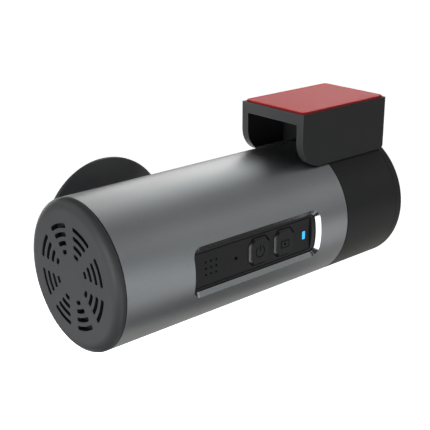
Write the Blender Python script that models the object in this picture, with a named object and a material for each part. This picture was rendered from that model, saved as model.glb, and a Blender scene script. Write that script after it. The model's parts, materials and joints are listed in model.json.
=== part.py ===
"""Barrel dash camera on an adhesive windscreen bracket.

Frame: metres, +Z up. The origin is the centre of the adhesive pad's top face, where the camera
hangs from the windscreen. +X runs along the barrel to the hinge end, +Y looks out at the road,
and the control panel faces the driver at -Y.
Most pieces are drawn in the barrel's own frame: x = 0 at the vent end of the aluminium tube,
y = z = 0 on the tube's axis.
"""
import math

import bmesh
import bpy
from mathutils import Vector

MM = 0.001

# ---- driving dimensions -------------------------------------------------------------------
TUBE_RADIUS = 19.0 * MM
TUBE_WALL = 1.6 * MM
TUBE_LENGTH = 73.75 * MM
TUBE_BORE = TUBE_RADIUS - TUBE_WALL
SEAM = 0.25 * MM                  # gap at a seam between two shells
FIT = 0.1 * MM                    # gap between a piece and the seat that holds it
TINY = 0.02 * MM                  # gap between a glued film and what it is glued to
THROUGH = 10.0 * MM               # how far a cutter runs on past what it cuts

HINGE_START = TUBE_LENGTH + SEAM  # black hinge section, right of the tube
HINGE_SEAM = 94.5 * MM
HINGE_END = 97.7 * MM

BRACKET_LEFT = 62.95 * MM
BRACKET_RIGHT = 96.6 * MM
BRACKET_MIDDLE = (BRACKET_LEFT + BRACKET_RIGHT) / 2
BRACKET_HALF = 11.65 * MM
BRACKET_TOP = 30.45 * MM
BRACKET_WALL = 2.3 * MM
BRACKET_PLATE = 2.95 * MM
BRACKET_CLEARANCE = 19.5 * MM     # radius that the bracket's cheeks are hollowed to
CHEEK_ROUND = 7.0 * MM            # rounding of the cheeks' free lower corners
BRACKET_SCREWS = [82.5 * MM, 91.5 * MM]
SCREW_HEAD = 1.9 * MM
SCREW_SHANK = 0.85 * MM
SCREW_LENGTH = 4.4 * MM

PAD_INSET = 0.5 * MM
PAD_RECESS = 0.45 * MM
PAD_CORNER = 1.3 * MM
PAD_TOP = 31.0 * MM               # height of the liner's top face above the tube's axis
LINER_THICKNESS = 0.14 * MM

PEDESTAL_LEFT = 76.55 * MM        # upright face at the end of the bracket's channel
PEDESTAL_RIGHT = 94.0 * MM
PEDESTAL_HALF = 9.1 * MM
PEDESTAL_TOP = BRACKET_TOP - BRACKET_PLATE - SEAM
PEDESTAL_ROOT = 17.5 * MM
ROOM_HALF = 7.4 * MM              # room for the power board inside the pedestal
ROOM_TOP = 25.0 * MM
ROOM_LEFT = PEDESTAL_LEFT + 1.8 * MM
ROOM_RIGHT = PEDESTAL_RIGHT - 1.4 * MM
HINGE_WALL = 2.6 * MM
HINGE_BORE = 16.8 * MM
BUSH_RADIUS = 6.65 * MM
BUSH_FLANGE = 8.4 * MM
SOCKET_Y = -1.6 * MM
SOCKET_Z = 22.9 * MM
SOCKET_WIDTH = 9.0 * MM
SOCKET_HEIGHT = 3.3 * MM
SOCKET_LENGTH = 7.3 * MM
POWER_BOARD_THICKNESS = 0.8 * MM
LEAD_MEETING = 84.0 * MM
LEAD_RADIUS = 1.4 * MM

WINDOW_LEFT = 19.9 * MM           # outer edges of the window's chamfer
WINDOW_RIGHT = 63.3 * MM
WINDOW_HALF_ARC = 6.66 * MM       # measured round the tube
WINDOW_CHAMFER = 1.0 * MM
WINDOW_CORNER = 2.6 * MM

PANEL_FACE = -17.03 * MM
PANEL_THICKNESS = 1.1 * MM
PANEL_LEFT = 21.3 * MM
PANEL_RIGHT = 60.9 * MM
PANEL_HALF = 4.38 * MM
RIM_RADIUS = 17.7 * MM

BUTTON_WIDTH = 7.2 * MM
BUTTON_HEIGHT = 7.3 * MM
BUTTON_CUT_X = 1.5 * MM
BUTTON_CUT_Z = 1.7 * MM
BUTTON_RISE = 0.52 * MM
BUTTON_GAP = 0.25 * MM
POWER_X = 42.4 * MM
PHOTO_X = 51.2 * MM
RESET_X = 34.6 * MM
RESET_HOLE = 0.48 * MM
MIC_X = 26.43 * MM
MIC_PITCH = 1.65 * MM
MIC_HOLE = 0.27 * MM
LIGHT_X = 58.56 * MM
LIGHT_WIDTH = 1.2 * MM
LIGHT_HEIGHT = 2.3 * MM

BOARD_Y = -11.9 * MM              # middle of the key board
BOARD_THICKNESS = 0.8 * MM
SWITCH_SIZE = 4.5 * MM
SWITCH_TOP = -13.7 * MM
SWITCH_WELL = -12.6 * MM          # floor of the hole that a switch's plunger slides in
STEM_END = -14.5 * MM
SWITCH_BORE = 1.0 * MM
FRAME_Y = -9.9 * MM
FRAME_THICKNESS = 1.4 * MM
FRAME_LEFT = 14.0 * MM
FRAME_RIGHT = 64.0 * MM
FRAME_HALF = 11.6 * MM
MAIN_BOARD_Y = -5.3 * MM
MAIN_THICKNESS = 1.2 * MM
CHIP_X = 33.0 * MM

CAP_DEPTH = 2.33 * MM             # how far the vent cap stands out of the tube
CAP_FACE = 1.7 * MM
SLOT_SECTORS = 8
SLOT_RADII = [12.6 * MM, 10.47 * MM, 8.34 * MM, 6.2 * MM]
SLOT_WIDTH = 1.05 * MM
SPOKE_WIDTH = 3.05 * MM
SPEAKER_RIM = 14.6 * MM
SPEAKER_THROAT = 12.6 * MM
SPEAKER_BACK = 5.0 * MM
SPEAKER_DOME = 4.6 * MM

POD_X = 23.7 * MM
POD_RADIUS = 19.13 * MM
POD_NECK = 12.0 * MM
POD_NECK_BACK = 8.0 * MM
POD_BORE = 10.4 * MM
POD_RIM_BACK = 22.2 * MM
POD_FRONT = 23.6 * MM
BEZEL_RADIUS = 18.0 * MM
BEZEL_BACK = 22.75 * MM
BEZEL_OPENING = 8.4 * MM
GLASS_FRONT = 20.7 * MM
GLASS_THICKNESS = 1.1 * MM
GLASS_RADIUS = 10.1 * MM
SENSOR_BOARD_Y = 1.7 * MM
SENSOR_BOARD_THICKNESS = 1.0 * MM
HOLDER_RADIUS = 7.6 * MM
HOLDER_FLANGE = 9.2 * MM
HOLDER_BORE = 6.35 * MM
HOLDER_HEIGHT = 9.0 * MM
BARREL_THREAD = 6.2 * MM
HEAD_RADIUS = 8.2 * MM
FRONT_LENS_BORE = 6.6 * MM
REAR_LENS_BORE = 4.6 * MM

SHAFT_RADIUS = 5.0 * MM
SHAFT_BORE = 3.2 * MM
SHAFT_END = 82.0 * MM
SHAFT_FLANGE = 9.0 * MM
FLANGE_BACK = 68.4 * MM
FLANGE_FRONT = 70.1 * MM
NUT_CORNERS = 7.6 * MM
NUT_HEIGHT = 2.2 * MM
WASHER_RADIUS = 7.8 * MM
STOP_ORBIT = 12.4 * MM
STOP_RADIUS = 1.2 * MM
PITCH_LIMIT = math.radians(60)

CARD_X = 51.0 * MM
CARD_Y = -3.7 * MM
CARD_WIDTH = 11.0 * MM
CARD_LENGTH = 15.0 * MM
CARD_THICKNESS = 0.7 * MM
CARD_BOTTOM = -18.1 * MM
CARD_SOCKET_MOUTH = -16.0 * MM
CARD_SOCKET_TOP = -2.2 * MM

BIG_ROUND = 48                    # sides of the tube and of what shares its outline
MID_ROUND = 36
SMALL_ROUND = 20
PIN_ROUND = 10

# name: (colour, roughness, metallic)
FINISHES = {
    "tube_grey": ((0.17, 0.18, 0.19), 0.38, 0.85),
    "black_plastic": ((0.028, 0.028, 0.029), 0.55, 0.0),
    "cap_grey": ((0.075, 0.078, 0.082), 0.50, 0.0),
    "panel_black": ((0.022, 0.022, 0.023), 0.50, 0.0),
    "button_black": ((0.028, 0.028, 0.030), 0.42, 0.0),
    "gloss_black": ((0.010, 0.010, 0.011), 0.10, 0.0),
    "red_film": ((0.50, 0.035, 0.040), 0.30, 0.0),
    "red_foam": ((0.38, 0.012, 0.016), 0.60, 0.0),
    "light_blue": ((0.05, 0.55, 0.95), 0.25, 0.0),
    "steel": ((0.55, 0.55, 0.56), 0.32, 1.0),
    "aluminium": ((0.66, 0.67, 0.69), 0.40, 1.0),
    "brass": ((0.70, 0.52, 0.22), 0.35, 1.0),
    "board_green": ((0.02, 0.11, 0.05), 0.45, 0.0),
    "chip_black": ((0.020, 0.020, 0.022), 0.50, 0.0),
    "nylon_white": ((0.72, 0.71, 0.68), 0.45, 0.0),
    "lens_glass": ((0.70, 0.75, 0.80), 0.03, 0.0),
    "flex_amber": ((0.42, 0.17, 0.03), 0.40, 0.0),
    "mesh_black": ((0.012, 0.012, 0.012), 0.80, 0.0),
    "rubber_black": ((0.020, 0.020, 0.020), 0.75, 0.0),
    "thermal_grey": ((0.35, 0.36, 0.40), 0.80, 0.0),
    "capacitor_blue": ((0.03, 0.06, 0.22), 0.35, 0.0),
}


# ---- helpers ------------------------------------------------------------------------------
def clear_scene():
    for old in list(bpy.data.objects):
        bpy.data.objects.remove(old, do_unlink=True)


def make_finish(name):
    colour, roughness, metallic = FINISHES[name]
    finish = bpy.data.materials.new(name)
    finish.use_nodes = True
    shader = finish.node_tree.nodes["Principled BSDF"]
    shader.inputs["Base Color"].default_value = (*colour, 1.0)
    shader.inputs["Roughness"].default_value = roughness
    shader.inputs["Metallic"].default_value = metallic
    return finish


def finish_named(name):
    return bpy.data.materials.get(name) or make_finish(name)


def make_empty(name, location, parent=None):
    empty = bpy.data.objects.new(name, None)
    bpy.context.scene.collection.objects.link(empty)
    empty.location = location
    empty.parent = parent
    return empty


def make_object(name, bm, finish, parent):
    """Closes a bmesh into an object, with its faces pointing out and its round sides smooth."""
    bmesh.ops.recalc_face_normals(bm, faces=bm.faces)
    mesh = bpy.data.meshes.new(name)
    bm.to_mesh(mesh)
    bm.free()
    mesh.shade_smooth()
    mesh.set_sharp_from_angle(angle=math.radians(30))
    mesh.materials.append(finish_named(finish))
    piece = bpy.data.objects.new(name, mesh)
    bpy.context.scene.collection.objects.link(piece)
    piece.parent = parent
    return piece


def combine(target, tool, operation="DIFFERENCE"):
    """Cuts the tool out of the target, or joins it on; the tool itself stays hidden."""
    step = target.modifiers.new(tool.name, "BOOLEAN")
    step.operation = operation
    step.solver = "EXACT"
    step.object = tool
    tool.hide_render = True
    tool.display_type = "WIRE"


def turned_mesh(profile, axis, centre, segments):
    """Turns a closed outline of (place along the axis, radius) points round an X or Y axis."""
    bm = bmesh.new()
    centre = Vector(centre)
    along = Vector((1, 0, 0)) if axis == "X" else Vector((0, 1, 0))
    outward = Vector((0, 0, 1))
    corners = [bm.verts.new(centre + along * place + outward * radius) for place, radius in profile]
    edges = []
    for index, (_, radius) in enumerate(profile):
        following = (index + 1) % len(profile)
        if radius > 0 or profile[following][1] > 0:
            edges.append(bm.edges.new((corners[index], corners[following])))
    bmesh.ops.spin(bm, geom=corners + edges, cent=centre, axis=along, steps=segments,
                   angle=2 * math.pi, use_merge=True)
    bmesh.ops.remove_doubles(bm, verts=bm.verts, dist=0.001 * MM)
    return bm


def turned(name, profile, finish, parent, axis="X", centre=(0, 0, 0), segments=MID_ROUND):
    return make_object(name, turned_mesh(profile, axis, centre, segments), finish, parent)


def spatial(axis, first, second, along):
    """Places a point of a flat outline, drawn across the given axis, in space."""
    if axis == "X":
        return Vector((along, first, second))
    if axis == "Y":
        return Vector((first, along, second))
    return Vector((first, second, along))


def add_prism(bm, outline, axis, low, high):
    base = bm.faces.new([bm.verts.new(spatial(axis, u, v, low)) for u, v in outline])
    raised = bmesh.ops.extrude_face_region(bm, geom=[base])
    top = [item for item in raised["geom"] if isinstance(item, bmesh.types.BMVert)]
    bmesh.ops.translate(bm, verts=top, vec=spatial(axis, 0, 0, high - low))


def prism(name, outline, axis, low, high, finish, parent):
    bm = bmesh.new()
    add_prism(bm, outline, axis, low, high)
    return make_object(name, bm, finish, parent)


def rectangle(left, right, bottom, top):
    return [(left, bottom), (right, bottom), (right, top), (left, top)]


def circle(u, v, radius, sides):
    return [(u + radius * math.cos(2 * math.pi * step / sides),
             v + radius * math.sin(2 * math.pi * step / sides)) for step in range(sides)]


def rounded_rectangle(left, right, bottom, top, radius, steps=4):
    """Outline of a rectangle whose corners are quarter circles, anticlockwise from lower right."""
    centres = [(right - radius, bottom + radius, -90), (right - radius, top - radius, 0),
               (left + radius, top - radius, 90), (left + radius, bottom + radius, 180)]
    outline = []
    for u, v, start in centres:
        for step in range(steps + 1):
            angle = math.radians(start + 90 * step / steps)
            outline.append((u + radius * math.cos(angle), v + radius * math.sin(angle)))
    return outline


def block(name, centre, size, finish, parent):
    (x, y, z), (wide, deep, high) = centre, size
    outline = rectangle(x - wide / 2, x + wide / 2, y - deep / 2, y + deep / 2)
    return prism(name, outline, "Z", z - high / 2, z + high / 2, finish, parent)


def sleeve(inner, outer, start, end):
    """Profile of a plain ring or tube."""
    return [(start, inner), (end, inner), (end, outer), (start, outer)]


def rod(name, start, end, radius, finish, parent, axis="X", centre=(0, 0, 0), segments=SMALL_ROUND):
    profile = [(start, 0), (end, 0), (end, radius), (start, radius)]
    return turned(name, profile, finish, parent, axis, centre, segments)


def fillet(place, radius, width, depth, steps=3):
    """Convex quarter-ellipse edge, from the end face at `place` round to the outer side."""
    points = []
    for step in range(steps + 1):
        angle = math.pi / 2 * step / steps
        points.append((place - depth * (1 - math.cos(angle)),
                       radius - width * (1 - math.sin(angle))))
    return points


def ribbon(name, path, width, thickness, finish, parent):
    """A flat flexible strip: a path in the XY plane, given a thickness, as wide as `width` in Z."""
    left = []
    right = []
    for index, point in enumerate(path):
        before = Vector(path[max(index - 1, 0)])
        after = Vector(path[min(index + 1, len(path) - 1)])
        heading = (after - before).normalized()
        side = Vector((-heading.y, heading.x)) * thickness / 2
        left.append(Vector(point) + side)
        right.append(Vector(point) - side)
    outline = [tuple(point) for point in left + right[::-1]]
    return prism(name, outline, "Z", -width / 2, width / 2, finish, parent)


def lead(name, points, radius, parent):
    """A round insulated lead that follows a smooth curve through its points."""
    curve = bpy.data.curves.new(name, "CURVE")
    curve.dimensions = "3D"
    curve.bevel_depth = radius
    curve.bevel_resolution = 2
    curve.use_fill_caps = True
    spline = curve.splines.new("POLY")
    spline.points.add(len(points) - 1)
    for place, point in zip(spline.points, points):
        place.co = (*point, 1.0)
    curve.materials.append(finish_named("rubber_black"))
    piece = bpy.data.objects.new(name, curve)
    bpy.context.scene.collection.objects.link(piece)
    piece.parent = parent
    return piece


def quarter_bend(start, towards, turning, radius, steps=5):
    """Points of a quarter circle that leaves `start` along `towards` and ends along `turning`."""
    start, towards, turning = Vector(start), Vector(towards), Vector(turning)
    centre = start + turning * radius
    points = []
    for step in range(steps + 1):
        angle = math.pi / 2 * step / steps
        points.append(centre - turning * radius * math.cos(angle) + towards * radius * math.sin(angle))
    return points


# ---- windscreen mount ---------------------------------------------------------------------
def pad_outline(inset=0.0):
    """Plan of the adhesive pad, in the barrel's frame."""
    edge = PAD_INSET + inset
    return rounded_rectangle(BRACKET_LEFT + edge, BRACKET_RIGHT - edge,
                             -BRACKET_HALF + edge, BRACKET_HALF - edge, PAD_CORNER)


def bracket_side_outline():
    """Side view of the bracket: a block with its free lower corner rounded off."""
    bottom = 14.0 * MM
    heel = 1.2 * MM
    outline = [(BRACKET_LEFT, BRACKET_TOP)]
    # the cheek's lower edge as it is seen, where the hollow meets the cheek's outer face
    low = math.sqrt(BRACKET_CLEARANCE ** 2 - BRACKET_HALF ** 2)
    steps = 8
    for step in range(steps + 1):
        angle = math.radians(180 + 90 * step / steps)
        outline.append((BRACKET_LEFT + CHEEK_ROUND + CHEEK_ROUND * math.cos(angle),
                        low + CHEEK_ROUND + CHEEK_ROUND * math.sin(angle)))
    outline.append((BRACKET_LEFT + CHEEK_ROUND + heel, bottom))
    outline.append((BRACKET_RIGHT - 2 * heel, bottom))
    outline.append((BRACKET_RIGHT - heel, low))
    outline.append((BRACKET_RIGHT, low + heel))
    outline.append((BRACKET_RIGHT, BRACKET_TOP))
    return outline


def build_bracket(mount):
    bracket = prism("mount_bracket", bracket_side_outline(), "Y", -BRACKET_HALF, BRACKET_HALF,
                    "black_plastic", mount)
    inner = BRACKET_HALF - BRACKET_WALL
    channel = prism("channel_cutter", rectangle(-inner, inner, 0, BRACKET_TOP - BRACKET_PLATE), "X",
                    BRACKET_LEFT - THROUGH, BRACKET_RIGHT - BRACKET_WALL, "black_plastic", mount)
    hollow = rod("cheek_cutter", BRACKET_LEFT - THROUGH, BRACKET_RIGHT + THROUGH, BRACKET_CLEARANCE,
                 "black_plastic", mount, segments=BIG_ROUND)
    recess = prism("recess_cutter", pad_outline(-FIT), "Z", BRACKET_TOP - PAD_RECESS,
                   BRACKET_TOP + THROUGH, "black_plastic", mount)
    combine(bracket, channel)
    combine(bracket, hollow)
    combine(bracket, recess)
    for place in BRACKET_SCREWS:
        seat = turned(f"screw_seat_{place * 1000:.0f}", screw_profile(FIT), "black_plastic", mount,
                      axis="X", segments=PIN_ROUND * 2)
        seat.rotation_euler = (0, math.pi / 2, 0)
        seat.location = (place, 0, BRACKET_TOP - PAD_RECESS)
        combine(bracket, seat)
    return bracket


def screw_profile(grow=0.0):
    """Countersunk screw, drawn from its flat head down its shank."""
    head = SCREW_HEAD + grow
    shank = SCREW_SHANK + grow
    land = 0.3 * MM
    taper = 1.0 * MM
    start = -THROUGH if grow else FIT
    return [(start, 0), (start, head), (land, head), (land + taper, shank),
            (SCREW_LENGTH + grow, shank), (SCREW_LENGTH + grow, 0)]


def build_bracket_screws(mount):
    for number, place in enumerate(BRACKET_SCREWS, start=1):
        screw = turned(f"bracket_screw_{number}", screw_profile(), "steel", mount,
                       axis="X", segments=PIN_ROUND * 2)
        screw.rotation_euler = (0, math.pi / 2, 0)
        screw.location = (place, 0, BRACKET_TOP - PAD_RECESS)


def build_pad(mount):
    foam_bottom = BRACKET_TOP - PAD_RECESS + TINY
    foam_top = PAD_TOP - LINER_THICKNESS - TINY
    prism("adhesive_foam_pad", pad_outline(), "Z", foam_bottom, foam_top, "red_foam", mount)
    prism("release_liner", pad_outline(), "Z", PAD_TOP - LINER_THICKNESS, PAD_TOP, "red_film", mount)


def sector_outline(orbit, width, half_angle, steps=10):
    """A curved slot round the X axis with flat ends, centred on the direction +Z."""
    outline = []
    for radius, turn in ((orbit + width / 2, 1), (orbit - width / 2, -1)):
        for step in range(steps + 1):
            angle = turn * half_angle * (2 * step / steps - 1)
            outline.append((radius * math.sin(angle), radius * math.cos(angle)))
    return outline


def socket_outline(grow):
    """Stadium shape of the power socket's mouth, grown all round."""
    half_w = SOCKET_WIDTH / 2 + grow
    half_h = SOCKET_HEIGHT / 2 + grow
    corner = half_h - FIT
    return rounded_rectangle(SOCKET_Y - half_w, SOCKET_Y + half_w,
                             SOCKET_Z - half_h, SOCKET_Z + half_h, corner)


def build_hinge_housing(mount):
    shell = [(HINGE_START, BUSH_RADIUS + FIT), (HINGE_START, TUBE_RADIUS),
             (HINGE_SEAM, TUBE_RADIUS), (HINGE_SEAM, HINGE_BORE),
             (HINGE_START + HINGE_WALL, HINGE_BORE), (HINGE_START + HINGE_WALL, BUSH_RADIUS + FIT)]
    housing = turned("hinge_housing", shell, "black_plastic", mount, segments=BIG_ROUND)
    pedestal = prism("pedestal_form",
                     rectangle(-PEDESTAL_HALF, PEDESTAL_HALF, PEDESTAL_ROOT, PEDESTAL_TOP),
                     "X", PEDESTAL_LEFT, PEDESTAL_RIGHT, "black_plastic", mount)
    combine(housing, pedestal, "UNION")
    room = prism("pedestal_room", rectangle(-ROOM_HALF, ROOM_HALF, PEDESTAL_ROOT / 2, ROOM_TOP), "X",
                 ROOM_LEFT, ROOM_RIGHT, "black_plastic", mount)
    combine(housing, room)
    mouth = prism("socket_mouth", socket_outline(FIT), "X", PEDESTAL_LEFT - THROUGH,
                  PEDESTAL_LEFT + THROUGH / 2, "black_plastic", mount)
    combine(housing, mouth)
    slot_width = 2 * (STOP_RADIUS + SEAM)
    slot_reach = PITCH_LIMIT + slot_width / 2 / STOP_ORBIT
    stop_slot = prism("stop_slot", sector_outline(STOP_ORBIT, slot_width, slot_reach), "X",
                      HINGE_START - THROUGH, HINGE_START + HINGE_WALL + SEAM, "black_plastic", mount)
    combine(housing, stop_slot)
    for place in BRACKET_SCREWS:
        hole = rod(f"pilot_{place * 1000:.0f}", ROOM_TOP + 2 * FIT, PEDESTAL_TOP + THROUGH,
                   SCREW_SHANK + FIT, "black_plastic", mount, axis="X", segments=PIN_ROUND * 2)
        hole.rotation_euler = (0, -math.pi / 2, 0)
        hole.location = (place, 0, 0)
        combine(housing, hole)


def build_hinge_end_cap(mount):
    start = HINGE_SEAM + SEAM
    spigot = HINGE_BORE - FIT
    spigot_end = start - 3.0 * MM
    spigot_inner = spigot - 1.4 * MM
    edge = fillet(HINGE_END, TUBE_RADIUS, 1.4 * MM, 1.2 * MM)
    profile = [(start, 0), (HINGE_END, 0)] + edge + [
        (start, TUBE_RADIUS), (start, spigot), (spigot_end, spigot),
        (spigot_end, spigot_inner), (start, spigot_inner)]
    turned("hinge_end_cap", profile, "black_plastic", mount, segments=BIG_ROUND)


def build_hinge_bush(mount):
    bore = SHAFT_RADIUS + 0.06 * MM
    flange = HINGE_START + HINGE_WALL + FIT
    flange_end = flange + 0.8 * MM
    profile = [(HINGE_START + FIT, bore), (flange_end, bore), (flange_end, BUSH_FLANGE),
               (flange, BUSH_FLANGE), (flange, BUSH_RADIUS), (HINGE_START + FIT, BUSH_RADIUS)]
    turned("hinge_bush", profile, "nylon_white", mount, segments=MID_ROUND)


def build_power_inlet(mount):
    """Power socket in the pedestal, with the small board it is soldered to and its lead."""
    front = PEDESTAL_LEFT + 0.4 * MM
    back = front + SOCKET_LENGTH
    wall = 0.3 * MM
    shell = prism("usb_socket_shell", socket_outline(0.0), "X", front, back, "steel", mount)
    inside = prism("usb_cutter", socket_outline(-wall), "X", front - THROUGH, back - 1.0 * MM,
                   "steel", mount)
    combine(shell, inside)
    tongue_half = 3.3 * MM
    tongue_rise = 0.35 * MM
    prism("usb_socket_tongue", rectangle(SOCKET_Y - tongue_half, SOCKET_Y + tongue_half,
                                         SOCKET_Z - tongue_rise, SOCKET_Z + tongue_rise),
          "X", front + 1.0 * MM, back - 1.0 * MM - FIT, "chip_black", mount)
    board_top = SOCKET_Z - SOCKET_HEIGHT / 2 - FIT
    board_bottom = board_top - POWER_BOARD_THICKNESS
    board_left = ROOM_LEFT + 4 * FIT
    board_right = ROOM_RIGHT - 4 * FIT
    board_half = ROOM_HALF - 3 * FIT
    prism("power_board", rectangle(board_left, board_right, -board_half, board_half), "Z",
          board_bottom, board_top, "board_green", mount)
    start = Vector((LEAD_MEETING + SEAM, 0, 0))
    straight = Vector((0.8 * MM, 0, 0))
    bend = quarter_bend(start + straight, (1, 0, 0), (0, 0, 1), 3.5 * MM)
    top = Vector((bend[-1].x, 0, board_bottom - SEAM))
    lead("power_lead_mount_end", [start] + bend + [top], LEAD_RADIUS, mount)


# ---- barrel -------------------------------------------------------------------------------
def window_outline(inset, radius):
    """The window's outline pushed in by `inset`, wrapped on a cylinder of the given radius."""
    left = WINDOW_LEFT + inset
    right = WINDOW_RIGHT - inset
    half = WINDOW_HALF_ARC - inset
    corner = WINDOW_CORNER - inset
    flat = rounded_rectangle(left, right, -half, half, corner, 4)
    side_steps = 6
    outline = []
    for index, (x, arc) in enumerate(flat):
        outline.append((x, arc))
        following = flat[(index + 1) % len(flat)]
        if abs(x - following[0]) < TINY / 2 and abs(arc - following[1]) > corner:
            for step in range(1, side_steps):
                outline.append((x, arc + (following[1] - arc) * step / side_steps))
    points = []
    for x, arc in outline:
        angle = arc / TUBE_RADIUS
        points.append(Vector((x, -radius * math.cos(angle), radius * math.sin(angle))))
    return points


def build_window_cutter(camera):
    """Cuts the window with a 45 degree chamfer that follows the tube's curve."""
    over = 0.5 * MM
    outer = window_outline(-over, TUBE_RADIUS + over)
    inner = window_outline(WINDOW_CHAMFER, TUBE_RADIUS - WINDOW_CHAMFER)
    far_out = [Vector((p.x, -TUBE_RADIUS - THROUGH, p.z)) for p in outer]
    far_in = [Vector((p.x, -TUBE_RADIUS / 2, p.z)) for p in inner]
    bm = bmesh.new()
    rings = [[bm.verts.new(point) for point in ring] for ring in (far_out, outer, inner, far_in)]
    count = len(outer)
    for near, far in zip(rings, rings[1:]):
        for index in range(count):
            following = (index + 1) % count
            bm.faces.new((near[index], near[following], far[following], far[index]))
    bm.faces.new(rings[0])
    bm.faces.new(rings[-1][::-1])
    return make_object("window_cutter", bm, "tube_grey", camera)


def build_tube(camera):
    tube = turned("tube_shell", sleeve(TUBE_BORE, TUBE_RADIUS, 0, TUBE_LENGTH), "tube_grey", camera,
                  segments=BIG_ROUND)
    combine(tube, build_window_cutter(camera))
    pod_hole = rod("pod_hole", 0, TUBE_RADIUS + THROUGH, POD_NECK + SEAM, "tube_grey", camera,
                   axis="Y", centre=(POD_X, 0, 0), segments=MID_ROUND)
    combine(tube, pod_hole)
    slot_half = CARD_WIDTH / 2 + 0.8 * MM
    slot = prism("card_slot",
                 rounded_rectangle(CARD_X - slot_half, CARD_X + slot_half, CARD_Y - 1.0 * MM,
                                   CARD_Y + 1.0 * MM, 0.9 * MM, 3),
                 "Z", -TUBE_RADIUS - THROUGH, -TUBE_RADIUS / 2, "tube_grey", camera)
    combine(tube, slot)


def build_vent_cap(camera):
    back = -SEAM
    inside = -CAP_DEPTH + CAP_FACE
    spigot = TUBE_BORE - FIT * 2
    spigot_end = 4.0 * MM
    spigot_inner = spigot - 1.5 * MM
    edge = fillet(CAP_DEPTH, TUBE_RADIUS, 3.0 * MM, CAP_DEPTH - SEAM, 4)
    profile = [(-CAP_DEPTH, 0)] + [(-place, radius) for place, radius in edge] + [
        (back, spigot), (spigot_end, spigot), (spigot_end, spigot_inner),
        (inside, spigot_inner), (inside, 0)]
    cap = turned("vent_end_cap", profile, "cap_grey", camera, segments=BIG_ROUND)
    bm = bmesh.new()
    for sector in range(SLOT_SECTORS):
        middle = 2 * math.pi * (sector + 0.5) / SLOT_SECTORS
        for radius in SLOT_RADII:
            add_vent_slot(bm, radius, middle)
    combine(cap, make_object("slot_cutter", bm, "cap_grey", camera))


def add_vent_slot(bm, radius, middle):
    """One curved slot with round ends; the spokes between sectors keep the same width."""
    reach = math.pi / SLOT_SECTORS - math.asin((SPOKE_WIDTH / 2 + SLOT_WIDTH / 2) / radius)
    reach = max(reach, 0.01)
    half = SLOT_WIDTH / 2
    steps = 2
    outline = []
    for turn in (1, -1):
        for step in range(steps + 1):
            angle = middle + turn * reach * (2 * step / steps - 1)
            outline.append(((radius + turn * half) * math.cos(angle),
                            (radius + turn * half) * math.sin(angle)))
        tip = middle + turn * (reach + half / radius)
        outline.append((radius * math.cos(tip), radius * math.sin(tip)))
    add_prism(bm, outline, "X", -CAP_DEPTH - THROUGH, 0)


def build_speaker(camera):
    """Small loudspeaker behind the vents: frame, cone with its dome, and magnet."""
    back_of_face = -CAP_DEPTH + CAP_FACE
    rod("dust_mesh", back_of_face + FIT, back_of_face + 0.4 * MM, SPEAKER_RIM, "mesh_black", camera,
        segments=MID_ROUND)
    start = back_of_face + 0.7 * MM
    rim_back = start + 1.6 * MM
    wall_inside = start + 4.2 * MM
    wall_outside = start + 5.2 * MM
    frame = [(start, SPEAKER_THROAT), (start, SPEAKER_RIM), (rim_back, SPEAKER_RIM),
             (wall_outside, 8.6 * MM), (wall_outside, SPEAKER_BACK), (wall_inside, SPEAKER_BACK),
             (wall_inside, 7.9 * MM), (start + 1.4 * MM, SPEAKER_THROAT)]
    turned("speaker_frame", frame, "black_plastic", camera, segments=MID_ROUND)
    cone_rim = SPEAKER_THROAT - 3 * FIT
    paper = 0.4 * MM
    rim_front = start + 0.5 * MM
    dome_front = start + 2.2 * MM
    dome_edge = dome_front + paper
    cone = [(dome_front, 0), (dome_edge, SPEAKER_DOME), (rim_front, cone_rim),
            (rim_front + paper, cone_rim), (dome_edge + paper, SPEAKER_DOME), (dome_front + paper, 0)]
    turned("speaker_cone", cone, "mesh_black", camera, segments=SMALL_ROUND)
    magnet = wall_outside + 2 * FIT
    rod("speaker_magnet", magnet, magnet + 3.0 * MM, 6.8 * MM, "steel", camera)


def build_bulkhead(camera):
    face = TUBE_LENGTH - 0.35 * MM
    back = face - 2.8 * MM
    skirt_end = back - 2.5 * MM
    rim = TUBE_BORE - FIT * 2
    rim_inner = rim - 1.4 * MM
    profile = [(back, SHAFT_RADIUS + SEAM), (face, SHAFT_RADIUS + SEAM), (face, rim),
               (skirt_end, rim), (skirt_end, rim_inner), (back, rim_inner)]
    bulkhead = turned("tube_bulkhead", profile, "black_plastic", camera, segments=MID_ROUND)
    stop_end = HINGE_START + HINGE_WALL - 5 * FIT
    stop = rod("stop_form", face - 1.0 * MM, stop_end, STOP_RADIUS, "black_plastic", camera,
               centre=(0, 0, STOP_ORBIT), segments=PIN_ROUND * 2)
    combine(bulkhead, stop, "UNION")


def build_pivot(camera):
    """Hollow shaft that the barrel turns on, with the sprung washer and nut that load it."""
    profile = [(FLANGE_BACK, SHAFT_BORE), (SHAFT_END, SHAFT_BORE), (SHAFT_END, SHAFT_RADIUS),
               (FLANGE_FRONT, SHAFT_RADIUS), (FLANGE_FRONT, SHAFT_FLANGE), (FLANGE_BACK, SHAFT_FLANGE)]
    turned("pivot_shaft", profile, "steel", camera, segments=MID_ROUND)
    washer_middle = HINGE_START + HINGE_WALL + 1.5 * MM
    build_wave_washer(camera, washer_middle)
    nut_start = washer_middle + 0.55 * MM
    nut = prism("pivot_nut", circle(0, 0, NUT_CORNERS, 6), "X", nut_start, nut_start + NUT_HEIGHT,
                "brass", camera)
    thread = rod("nut_thread", nut_start - THROUGH, nut_start + THROUGH, SHAFT_RADIUS + FIT, "brass",
                 camera, segments=MID_ROUND)
    combine(nut, thread)


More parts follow.
